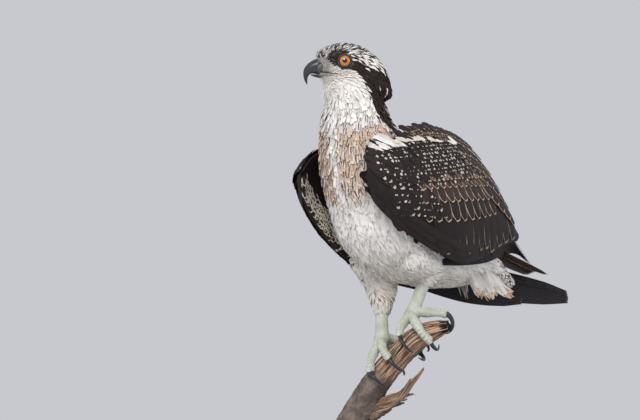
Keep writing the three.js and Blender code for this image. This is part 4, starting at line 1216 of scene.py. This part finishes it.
# %% The bill's halves and the cere
BILL_UPPER = [  # x, z, up, down, wide
    [38.4, 0.5, 9, 10.6, 8.6], [44, 0.5, 8.4, 11, 7.9], [50, -1.5, 7, 9.6, 6.6], [55.5, -6, 5.5, 5.6, 4.8],
    [58, -12, 3.2, 3.2, 2.9], [57.8, -18, 1.7, 1.7, 1.6], [56.4, -23, 0.4, 0.4, 0.4],
]
GAPE_Z = -10
HOOK_X = 52.5


def head_piece(name, local_rings, material, replaces=()):
    points, faces = loft(local_rings)
    make_piece(name, head_to_world(points), faces, material, replaces, {"place": points})


def bill_rings(count=56, sides=40):
    t = shares(count)
    here = between(BILL_UPPER, t)
    step = between(BILL_UPPER, t + 0.02) - between(BILL_UPPER, t - 0.02)
    way = unit(np.column_stack([step[:, 0], 0 * t, step[:, 1]]))
    way[0] = (1, 0, 0)
    rise_way = np.column_stack([-way[:, 2], 0 * t, way[:, 0]])
    angle = ring_angles(sides)
    up, down, wide = here[:, 2:].T[:, :, None]
    reach = np.sin(angle) * np.where(np.sin(angle) > 0, up, down)
    rings = np.stack([here[:, :1] + 0 * angle, np.cos(angle) * wide, here[:, 1:2] + 0 * angle], -1)
    rings = rings + rise_way[:, None] * reach[..., None]
    floor = GAPE_Z - 14 * fade(HOOK_X - 3, HOOK_X + 1, rings[..., 0])
    rings[..., 2] = np.maximum(rings[..., 2], floor)
    return rings


BILL_HORN = bill_finish()
CERE_SKIN = skin_finish("cere_skin", srgb(112, 117, 118), srgb(74, 78, 82))
head_piece("bill_top", bill_rings(), BILL_HORN, ["bill_upper"])
t = shares(20)[:, None]
angle = np.pi * np.arange(24) / 23
lower = np.stack([mix(38.4, 52, t) + 0 * angle, np.cos(angle) * mix(6.6, 1.6, t * t),
                  GAPE_Z - 0.4 - np.sin(angle) * mix(4.6, 1, t * t)], -1)
head_piece("bill_bottom", lower, BILL_HORN, ["bill_lower"])

CERE = [
    [32, 0.5, 13.5, 11, 13.6], [36, 0.6, 11.6, 11, 10.6], [40, 0.6, 9.9, 11, 9.0], [44, 0.5, 8.6, 11, 8.0],
]
cere = oval_rings(CERE, 18, 40)
cere[..., 2] = np.maximum(cere[..., 2], GAPE_Z + 0.6)
head_piece("cere", cere, CERE_SKIN)

# %% [markdown]
# The nostrils are slits in the cere. The gape is a dark line from the bill back under the cheek, with a pale
# lip below it. Both are painted shade: black tubes along short curves that are laid on the skin.

# %% Nostrils and gape
# The claws' black horn. The nostrils and the gape use it too, as painted shade.
BLACK_HORN_AND_SHADE = Finish("black_horn_and_shade", 0.3)
claw_streaks = BLACK_HORN_AND_SHADE.noise(1.0, 3.0, BLACK_HORN_AND_SHADE.stretched((300.0, 300.0, 900.0)))
BLACK_HORN_AND_SHADE.paint(BLACK_HORN_AND_SHADE.colour(claw_streaks, srgb(34, 35, 40), srgb(62, 64, 70)))
BLACK_HORN_AND_SHADE.bump(claw_streaks, 0.1, 0.0003)
for label, side in SIDES:
    # A nostril's black tube is painted shade in the slit.
    slit = tube_rings(np.array([(40.6, side * 8.9, 4.2), (42.4, side * 8.5, 3.2), (44.6, side * 7.9, 1.4)]),
                      np.array([0.5, 1.1, 0.4]), 12)
    head_piece(f"{label}_nostril", slit, BLACK_HORN_AND_SHADE.material)


LIP_SKIN = skin_finish("lip_skin", srgb(150, 156, 144), srgb(112, 118, 110))
GAPE_LINE = [(40, 9.4, -7.0), (34, 15, -8.2), (27, 20, -9.4), (17, 24, -9.8)]
LIP_LINE = [(41, 8.6, -10.2), (36, 13.5, -10.6), (31, 17, -11.0), (26, 20, -10.8)]
for label, side in SIDES:
    # The gape's black tube is painted shade in the mouth's seam; the lip is pale skin.
    for part, ends, thick, material in (
            ("gape", GAPE_LINE, 1.0, BLACK_HORN_AND_SHADE.material), ("lip", LIP_LINE, 1.9, LIP_SKIN)):
        line = curve(np.array(ends, float) * (1, side, 1), 14)
        at, out, _ = ground.near(head_to_world(line))
        along = shares(14)
        at = mix(head_to_world(line), at + out * 1.6, fade(0.0, 0.35, along)[:, None])
        points, faces = loft(tube_rings(at, thick * (1.05 - 0.75 * along), 12))
        make_piece(f"{label}_{part}", points, faces, material)

# %% [markdown]
# The eye is what people look at first. It is a whole ball that sits as deep in the head as a real one,
# with a black pupil, an orange iris with fine rays and a dark rim, all under a wet clear coat. Two lids of
# bare dark skin close round it, the upper one thicker, as the brow weighs on it.

# %% Eyes and lids
EYE_RADIUS = 9
PUPIL_RADIUS, IRIS_RADIUS = 2.9, 6.9


def eye_finish():
    made = Finish("eye", 0.08)
    off, turn, _ = made.parts("place")
    spun = made.node("ShaderNodeCombineXYZ", {0: made.times(turn, 9.0), 1: made.times(off, 0.5)}).outputs[0]
    rays = made.noise(1.0, 3.0, spun)
    amber = made.colour(made.ramp(rays, 0.35, 0.65), srgb(190, 106, 16), srgb(224, 148, 38))
    amber = made.colour(made.ramp(off, 3.0, 4.2, 0.55, 0.0), amber, srgb(150, 74, 10))
    amber = made.colour(made.ramp(off, IRIS_RADIUS - 1.3, IRIS_RADIUS - 0.2), amber, srgb(70, 34, 12))
    pupil, outside = made.maths("LESS_THAN", off, PUPIL_RADIUS), made.maths("GREATER_THAN", off, IRIS_RADIUS)
    made.paint(made.colour(made.maths("MAXIMUM", pupil, outside), amber, (0.004, 0.004, 0.005)))
    made.feed(made.shader.inputs["Coat Weight"], 1.0)
    made.feed(made.shader.inputs["Coat Roughness"], 0.03)
    return made.material


EYE = eye_finish()
LID_SKIN = skin_finish("lid_skin", srgb(58, 56, 60), srgb(36, 34, 38), 0.5, 1500.0)
for label, side in SIDES:
    centre = EYE_AT * (1, side, 1)
    look_way = unit(np.array([0.12, side * 0.99, 0.02]))
    points, faces = loft(ball_rings(centre, [EYE_RADIUS] * 3, 64, 64))
    off = points - centre
    ahead = off @ look_way
    side_way = unit(np.cross(look_way, (0, 0, 1)))
    flat = off - ahead[:, None] * look_way
    turn = np.arctan2(flat[:, 2], flat @ side_way)
    reach = np.where(ahead > 0, np.linalg.norm(flat, axis=1), EYE_RADIUS)
    make_piece(f"{label}_eyeball", head_to_world(points), faces, EYE, [f"eye_{label}"],
               {"place": np.column_stack([reach, turn, 0 * turn])})
    around = np.linspace(0, 2 * np.pi, 60)
    ring = np.column_stack([np.cos(around) * 8.0, 0 * around, np.sin(around) * 7.6])
    ring[:, 2] = np.where(ring[:, 2] > 0, ring[:, 2] * 0.94, ring[:, 2])
    ring = ring[:, :1] * side_way * -side + ring[:, 2:] * np.array([0, 0, 1.0])
    lid_line = centre + look_way * (4.6 + 0.5 * np.abs(np.cos(around)))[:, None] + ring
    thick = 1.25 + 0.55 * np.clip(np.sin(around), 0, 1) + 0.12 * np.sin(9 * around)
    points, faces = loft(tube_rings(head_to_world(lid_line), thick, 14, across=(0, 0, 1.0)))
    make_piece(f"{label}_eyelids", points, faces, LID_SKIN)

# %% [markdown]
# The branch is dead and weathered: its snapped end shows orange-brown wood with a long crack, and further
# down the grey bark is still on. It is one loft, fine enough to carry ridges as real shape. Each point
# stores how bare of bark it is, and how deep it lies, so that the finish can tell wood from bark.

# %% The perch's line
PERCH_TURN = math.radians(25)
PERCH_PLAN = np.array([math.sin(PERCH_TURN), -math.cos(PERCH_TURN), 0])
PERCH_FOOT = np.array([-38, 69.7, 61])
PERCH_LINE = [[-8, -13], [21, 34], [54.5, 86.5], [84, 119], [105, 137.8], [129, 147.8], [145, 151.5]]
PERCH_RADIUS = [[23], [21.5], [19], [17.5], [16.5], [15.5], [14.5], [9]]


def perch_point(run, rise):
    return PERCH_FOOT + PERCH_PLAN * run + np.array([0, 0, 1]) * rise


perch_line = curve([perch_point(*pair) for pair in PERCH_LINE], 600)
perch_long = float(np.linalg.norm(np.diff(perch_line, axis=0), axis=1).sum())
print("the branch is", round(perch_long), "mm long")


def perch_frame(from_end):
    """The branch's middle, its way, its two sides and its radius, at lengths from its end."""
    t = np.clip(1 - np.atleast_1d(from_end) / perch_long, 0, 1)
    ways = tangents(perch_line)
    at, along = (np.column_stack([np.interp(t, shares(600), some[:, k]) for k in range(3)])
                 for some in (perch_line, ways))
    along = unit(along)
    at = at + along * np.maximum(0, -np.atleast_1d(from_end))[:, None]
    side = unit(np.cross(along, (0, 0, 1)))
    return at, along, side, np.cross(side, along), between(PERCH_RADIUS, t)[:, 0]


# %% [markdown]
# Grain, pits, the crack and the torn end move the branch's points, as its outline shows them. The noise is
# read on a round tube, so that it closes without a seam.

# %% The branch's rings
PERCH_CUT = 62  # the height of the flat cut where the rod begins
PERCH_RINGS, PERCH_SIDES = 230, 112


def rough(points, scale):
    """Smooth noise from -1 to 1 at points in mm."""
    values = [fractal(Vector(p * scale), 0.9, 2.0, 4) for p in points.reshape(-1, 3)]
    return np.reshape(values, points.shape[:-1])


def wrapped(radius, angle, along, shift=0.0):
    """Places on a round tube, where noise can run round without a seam."""
    return np.stack(np.broadcast_arrays(radius * np.cos(angle) + shift, radius * np.sin(angle), along), -1)


def perch_rings(count=PERCH_RINGS, sides=PERCH_SIDES):
    from_end = np.linspace(perch_long, 0, count)
    at, along, side, up, radius = perch_frame(from_end)
    from_end = from_end[:, None]
    t = shares(count)[:, None]
    angle = ring_angles(sides)
    bump = 1 + 0.035 * np.sin(3 * angle + 9 * t) + 0.02 * np.sin(5 * angle - 17 * t)
    bare = fade(118, 96, from_end) * fade(-0.7, 0.2, np.cos(angle - 0.35))
    flat = wrapped(24, angle, from_end)
    grain, pits = rough(flat * (1, 1, 0.16), 0.2), rough(flat, 0.16)
    crack_at = math.radians(14) + 0.24 * np.sin(from_end / 17)
    crack = fade(0.075, 0.0, abs(angle - crack_at)) * fade(96, 86, from_end) * fade(4, 12, from_end)
    torn = fade(13, 2, from_end) * (0.5 + 0.5 * np.sin(5 * angle + 1) * np.sin(11 * angle))
    depth = -1.0 * bare + mix(0.9 * pits, 1.1 * grain, bare) - 3.2 * crack - 5.0 * torn
    reach = radius[:, None] * bump + np.minimum(depth, 0.9)
    jagged = fade(9, 0, from_end) * 2.6 * rough(flat * (1, 1, 0), 0.22)
    rings = at[:, None] + side[:, None] * (reach * np.cos(angle))[..., None]
    rings += up[:, None] * (reach * np.sin(angle))[..., None] + along[:, None] * jagged[..., None]
    rings[..., 2] = np.maximum(rings[..., 2], PERCH_CUT)
    # hollow is how much the finish darkens a point: dirt and painted shade in the crack, the torn end and the
    # pits.
    hollow = crack + 0.35 * torn - 0.4 * np.minimum(depth + 1, 0)
    return rings, np.stack([from_end + 0 * angle, bare, hollow], -1)


# %% [markdown]
# Wood and bark are two recipes on one surface, mixed by what the points store. Grain is noise stretched
# along the branch, and hollows are darker: dirt gathers there, and the darkening is painted shade as well.

# %% Dead wood
def wood_finish():
    made = Finish("dead_wood", 0.85)
    _, bare, depth = made.parts("place")
    grain = made.noise(1.0, 5.0, made.stretched((0.5, 0.5, 0.035), made.attribute("grain").outputs["Vector"]))
    cloud = made.noise(60.0, 4.0)
    speck = made.noise(420.0, 3.0)
    wood = made.colour(made.ramp(grain, 0.3, 0.7), srgb(128, 98, 78), srgb(214, 184, 152))
    wood = made.colour(made.ramp(cloud, 0.45, 0.68, 0.0, 0.5), wood, srgb(196, 140, 98))
    wood = made.colour(made.ramp(cloud, 0.42, 0.28, 0.0, 0.6), wood, srgb(104, 84, 72))
    bark = made.colour(made.ramp(cloud, 0.35, 0.65), srgb(92, 80, 74), srgb(146, 130, 120))
    bark = made.colour(made.ramp(speck, 0.55, 0.7, 0.0, 0.6), bark, srgb(52, 44, 42))
    whole = made.colour(bare, bark, wood)
    lines = made.ramp(grain, 0.52, 0.44, 0.0, 0.7)
    whole = made.colour(made.times(lines, made.plus(bare, 0.3)), whole, srgb(88, 60, 44))
    # Hollows are darkened: painted shade, and dirt.
    made.paint(made.colour(made.ramp(depth, 0.12, 0.8), whole, srgb(30, 22, 19)))
    made.bump(made.plus(made.times(grain, 1.4), speck), 0.55, 0.0012)
    return made.material


DEAD_WOOD = wood_finish()
rings, place = perch_rings()
perch_points, perch_faces = loft(rings)
grain = wrapped(17, ring_angles(PERCH_SIDES), place[..., 0])
make_piece("branch", perch_points, perch_faces, DEAD_WOOD, ["perch"],
           {"place": place.reshape(-1, 3), "grain": grain.reshape(-1, 3)})

# %% [markdown]
# Below the grip the branch was torn: slivers of wood still hang on it, split along the grain, with ragged
# ends. Each sliver is a bent, flattened tube whose end is drawn out unevenly, and several lie together.

# %% Torn slivers
SLIVERS = [  # from and to as run and rise, how much it bows, its radius, how flat, and off the branch's plane
    ((46, 50), (109, 96), 7, 9.0, 0.6, -3), ((50, 52), (104, 88), 9, 7.0, 0.5, 4),
    ((48, 46), (96, 84), 8, 6.0, 0.6, 6), ((56, 50), (97, 67), -3, 7.5, 0.7, -1),
    ((54, 46), (90, 60), -2, 6.0, 0.6, 5), ((60, 52), (92, 74), 1, 5.0, 0.5, -6),
    ((42, 38), (66, 48), 0, 8.0, 1.0, 1), ((52, 46), (84, 55), -1, 4.5, 0.8, -3),
]
pieces, places, grains = [], [], []
for k, (start, end, bow, radius, flat, aside) in enumerate(SLIVERS):
    middle = ((start[0] + end[0]) / 2 + bow * 0.6, (start[1] + end[1]) / 2 - bow)
    path = curve([perch_point(*pair) for pair in (start, middle, end)], 60)
    sideways = np.cross(PERCH_PLAN, (0, 0, 1))
    t = shares(60)
    path = path + sideways * aside * t[:, None]
    thick = mix(radius, 1.2, t ** 1.6) * (1 + 0.16 * np.sin(23 * t + k) * t)
    squeeze = tube_rings(path, thick, 32, across=sideways) - path[:, None]
    rings = path[:, None] + squeeze * mix(1, flat, fade(0.2, 0.7, t))[:, None, None]
    angle = ring_angles(32)
    ridge = rough(wrapped(7, angle, 9 * t[:, None], 40 * k), 0.24)
    rings += unit(squeeze) * (1.5 * ridge * fade(0, 0.2, t)[:, None])[..., None]
    ways = tangents(path)
    rings += ways[:, None] * (6 * ridge * fade(0.75, 1.0, t)[:, None])[..., None]
    pieces.append(loft(rings))
    bare = np.clip(0.75 + 0.4 * ridge, 0, 1) * (0.9 if k < 3 else 0.45)
    # The grooves between the ridges are stored as hollows, which the finish darkens with dirt and painted
    # shade.
    places.append(np.stack([0 * ridge, bare, 0.5 * np.maximum(-ridge, 0)], -1).reshape(-1, 3))
    grains.append(wrapped(8, angle, 70 * t[:, None], 20 * k).reshape(-1, 3))
points, faces = gather(pieces)
make_piece("slivers", points, faces, DEAD_WOOD, (),
           {"place": np.vstack(places), "grain": np.vstack(grains)})

# %% [markdown]
# An osprey's feet are bare and rough, for holding fish: grey-green skin covered in small scales like
# pebbles, with a few broad plates before each claw. The bones and pads of leg, palm and toes are fused into
# one skin per foot, and the scales are low domes scattered on it, each a little turned and sized by chance.

# %% Lines of the toes and claws
TOES = {  # how far from the branch's end each toe ends, the angle round it, and how its claw sets out
    "left": [(54, 55, 1), (24, 128, 1), (-3, 16, 0), (44, -80, 1)],
    "right": [(111, 66, 1), (83, 84, 1), (60, -118, 1), (92, -75, 1)],
}
TOE_RADIUS, TOE_LIFT = 6.2, 3.5
GAP = 0.3
CLAW_RADIUS, CLAW_BEND, CLAW_SWEEP, CLAW_RISE = 2.9, 14.5, math.radians(135), math.radians(28)


def grip_point(from_end, angle, reach):
    at, _, side, up, _ = perch_frame(from_end)
    return at + up * (np.cos(angle) * reach)[:, None] + side * (np.sin(angle) * reach)[:, None]


def toe_path(foot, toe, steps=6):
    from_end = np.arange(0.0, perch_long)
    at, _, side, up, _ = perch_frame(from_end)
    off = foot - at
    k = np.linalg.norm(off, axis=1).argmin()
    start = (from_end[k], math.atan2(dot(off[k], side[k]), dot(off[k], up[k])), np.linalg.norm(off[k]))
    t = shares(steps)
    ends = mix(start[0], toe[0], t)
    resting = perch_frame(ends)[4] + TOE_RADIUS + 0.6
    reach = mix(start[2], resting, np.minimum(1, 2.2 * t)) + TOE_LIFT * np.sin(np.pi * t)
    return grip_point(ends, mix(start[1], math.radians(toe[1]), t), reach)


def claw_path(path, toe, count=30):
    before, end = path[-2:]
    at, along = (some[0] for some in perch_frame(toe[0])[:2])
    off = end - at
    outward = unit(off - along * dot(off, along))
    ahead = unit(mix(unit(end - before), np.cross(along, outward) * np.sign(toe[1]), toe[2] * 0.85))
    inward = unit(ahead * dot(outward, ahead) - outward)
    rise = mix(-CLAW_RISE, CLAW_RISE, toe[2])
    out = ahead * math.cos(rise) - inward * math.sin(rise)
    curl = inward * math.cos(rise) + ahead * math.sin(rise)
    turn = CLAW_SWEEP * shares(count)[:, None]
    root = end + GAP * unit(end - before)
    return root + out * CLAW_BEND * np.sin(turn) + curl * CLAW_BEND * (1 - np.cos(turn)), curl


# %% [markdown]
# Every scale and plate is a low dome whose points store their own place on it, so that one finish can
# darken all their rims: painted shade in the grooves between them.

# %% The scales' finish and shape
def foot_skin_finish():
    made = Finish("foot_scales", 0.55)
    across, along, seed = made.parts("vane")
    off = made.maths("SQRT", made.plus(made.times(across, across), made.times(along, along)))
    cloud = made.noise(90.0, 4.0)
    tone = made.colour(made.ramp(cloud, 0.3, 0.7), srgb(196, 200, 180), srgb(212, 222, 212))
    tone = made.colour(made.ramp(seed, 0.0, 1.0, 0.0, 0.5), tone, srgb(212, 206, 182))
    # The darker rims are painted shade where the scales meet.
    made.paint(made.colour(made.ramp(off, 0.5, 1.0, 0.0, 0.85), tone, srgb(134, 128, 106)))
    made.bump(made.noise(900.0, 2.0), 0.2, 0.0003)
    return made.material


def scale_points(at, outs, ways, wide, tall, side=5):
    """Low domes on square grids bent to discs: their points and their own places."""
    across = np.linspace(-1, 1, side)
    u, v = np.meshgrid(across, across)
    disc_x, disc_y = u * np.sqrt(1 - v * v / 2), v * np.sqrt(1 - u * u / 2)
    dome = 1 - np.clip(disc_x ** 2 + disc_y ** 2, 0, 1) ** 1.5
    turned = unit(np.cross(outs, ways))
    spread = (turned[:, None, None] * (disc_x * wide[0][:, None, None])[..., None]
              + ways[:, None, None] * (disc_y * wide[1][:, None, None])[..., None])
    points = at[:, None, None] + spread + outs[:, None, None] * ((dome * 1.25 - 0.35) * tall)[..., None]
    every = 0 * wide[0][:, None, None]
    return points, disc_x + every, disc_y + every


def scale_piece(name, points, own_x, own_y, seed, uv):
    own = np.stack([own_x, own_y, seed + 0 * own_x], -1)
    none = np.zeros((len(points), 3))
    look = {"base": none, "tip": none, "mark": none, "uv": uv}
    vane_piece(name, points, own, look, FOOT_SKIN)


# %% [markdown]
# A foot is its fused skin, scales scattered over it, broad plates on the upper side of the toes' ends, and
# claws: bent, tapering tubes that start just off the toes.

# %% Both feet
TARSUS_RADIUS, FOOT_BALL = 8.2, 10.5
FOOT_VOXEL, SCALE_DEPTH = 1.1, 0.7
SCALE_GAP, SCALE_SIZE, SCALE_TRIES = 1.75, 1.12, 40000
PLATES_AT = [25, 28, 31, 34, 37, 39]  # of a toe's 40 points
PLATE_WIDE, PLATE_LONG = 4.4, 1.9
FOOT_SKIN = foot_skin_finish()
for side, leg in LEGS.items():
    heel, foot = np.array(leg["heel"], float), np.array(leg["foot"], float)
    shin = curve([mix(foot, heel, 0.9), mix(foot, heel, 0.45), foot], 30)
    swell = TARSUS_RADIUS * (1 + 0.2 * np.linspace(-1, 1, 30) ** 2)
    ends = [toe_path(foot, toe) for toe in TOES[side]]
    lines = [curve(path, 40) for path in ends]
    t = shares(40)
    pads = TOE_RADIUS * (1.1 - 0.2 * t + 0.09 * np.cos(t * 4 * np.pi)) - SCALE_DEPTH
    shells = [tube_rings(shin, swell - SCALE_DEPTH, 32), ball_rings(foot, [FOOT_BALL - SCALE_DEPTH] * 3)]
    shells += [tube_rings(line, pads, 28) for line in lines]
    foot_skin = fused_skin(f"{side}_foot_skin", shells, FOOT_VOXEL)
    foot_skin.data.materials.append(FOOT_SKIN)
    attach(foot_skin, "root")
    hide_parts(f"tarsus_{side}", *(f"toe_{side}_{k}" for k in range(1, 5)))
    foot_ground = Ground(foot_skin)
    at = foot_ground.scatter(lambda points: np.full(len(points), SCALE_GAP), SCALE_TRIES)
    at = at[at[:, 2] < mix(foot, heel, 0.86)[2]]
    at, outs, faces = foot_ground.near(at)
    bones = np.vstack([shin, *lines])
    nearest = [np.linalg.norm(bones - p, axis=1).argmin() for p in at]
    ways = np.vstack([tangents(line) for line in (shin, *lines)])[nearest]
    ways = unit(unit(ways - outs * dot(ways, outs)[:, None]) + 0.15 * random.normal(size=at.shape))
    size = SCALE_SIZE * (0.85 + 0.3 * random.random(len(at)))
    points, disc_x, disc_y = scale_points(at, outs, ways, (size * 1.08, size * 0.95), 0.5)
    seed = random.random(len(at))[:, None, None]
    scale_piece(f"{side}_foot_scales", points, disc_x, disc_y, seed, foot_ground.uv[faces])
    at = np.vstack([line[PLATES_AT] for line in lines])
    ways = np.vstack([tangents(line)[PLATES_AT] for line in lines])
    nearest = np.linalg.norm(perch_line - at[:, None], axis=2).argmin(1)
    outs = unit(at - perch_line[nearest])
    outs = unit(outs - ways * dot(outs, ways)[:, None])
    at = at + outs * (np.tile(pads[PLATES_AT], len(lines)) - 0.2)[:, None]
    wide = np.full(len(at), PLATE_WIDE), np.full(len(at), PLATE_LONG)
    points, disc_x, disc_y = scale_points(at, outs, ways, wide, 1.0, 9)
    points -= outs[:, None, None] * (0.30 * PLATE_WIDE * disc_x ** 2)[..., None]
    uv = np.column_stack([np.linspace(0.1, 0.9, len(at)), np.full(len(at), 0.97)])
    scale_piece(f"{side}_toe_plates", points, disc_x * 0.8, disc_y * 0.8, 0.3, uv)
    for k, (path, toe) in enumerate(zip(ends, TOES[side])):
        hook, curl = claw_path(path, toe)
        thick = CLAW_RADIUS * np.clip(1.06 - shares(30), 0, 1) ** 0.7 * 1.08 + 0.1
        hook = np.vstack([hook[0] * 2 - hook[1], hook])
        thick = np.append(thick[0] * 0.9, thick)
        flank = np.cross(unit(hook[2] - hook[1]), curl)
        points, faces = loft(tube_rings(hook, thick, 20, 0.86, flank))
        make_piece(f"{side}_claw_{k + 1}", points, faces, BLACK_HORN_AND_SHADE.material,
                   [f"claw_{side}_{k + 1}"])

# %% [markdown]
# The stand isn't part of the bird. Its base and rod stay as the CAD made them, in dark satin paint with the
# faint orange peel that a roller leaves.

# %% Stand finish
satin = Finish("satin_paint", 0.42)
peel = satin.noise(700.0, 3.0)
satin.paint(satin.colour(satin.ramp(peel, 0.3, 0.7), srgb(44, 45, 47), srgb(54, 55, 57)))
satin.bump(peel, 0.12, 0.0004)
for name in ("stand_base", "stand_rod"):
    made = frame["nodes"][name]
    made.data.materials.clear()
    made.data.materials.append(satin.material)

# %% [markdown]
# The photo was taken from far away in the open, so the picture is flat and even: the camera stands 8 m off
# with a long lens, level with the bird's middle. Soft light comes from a large pane up on the left and a
# weaker one on the right, and the world itself gives the pale grey of the sky.

# %% Camera, light and floor
CAMERA_OFF = 8
scene = bpy.context.scene
camera_data = bpy.data.cameras.new("camera")
camera_data.lens = 360
camera = bpy.data.objects.new("camera", camera_data)
scene.collection.objects.link(camera)
camera.location = (-0.0707 - CAMERA_OFF * 0.70711, 0.0707 - CAMERA_OFF * 0.70711, 0.3575)
camera.rotation_euler = (math.radians(90), 0, math.radians(-45))
scene.camera = camera

scene.world = bpy.data.worlds.new("world")
scene.world.use_nodes = True
SKY_GREY = (0.578, 0.584, 0.617, 1)
scene.world.node_tree.nodes["Background"].inputs[0].default_value = SKY_GREY
scene.view_settings.view_transform = "Standard"


def soft_light(name, place, watts, size, target=(0, 0, 0.4)):
    light = bpy.data.lights.new(name, "AREA")
    light.energy, light.size = watts, size
    made = bpy.data.objects.new(name, light)
    made.location = place
    made.rotation_euler = (Vector(target) - Vector(place)).to_track_quat("-Z", "Y").to_euler()
    scene.collection.objects.link(made)


soft_light("key", (-2.4, -1.6, 2.2), 62, 1.2)
soft_light("fill", (1.6, -2.2, 1.2), 12, 2.0)

FLOOR_RADIUS = 1.5
floor_turn = 2 * np.pi * np.arange(96) / 96
floor_mesh = bpy.data.meshes.new("floor")
floor_edge = [(FLOOR_RADIUS * math.cos(a), FLOOR_RADIUS * math.sin(a), -0.0005) for a in floor_turn]
floor_mesh.from_pydata(floor_edge, [], [list(range(96))])
floor_paper = Finish("floor_paper", 0.9)
floor_cloud = floor_paper.noise(3.0, 2.0)
floor_paper.paint(floor_paper.colour(floor_cloud, srgb(206, 207, 210), srgb(212, 213, 216)))
floor_mesh.materials.append(floor_paper.material)
floor = bpy.data.objects.new("floor", floor_mesh)
scene.collection.objects.link(floor)
floor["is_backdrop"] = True

# %% [markdown]
# Last, the size of all that stands here now is printed.

# %% Sizes and the end
low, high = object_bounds()
print("visual box in metres:", list(low), list(high))
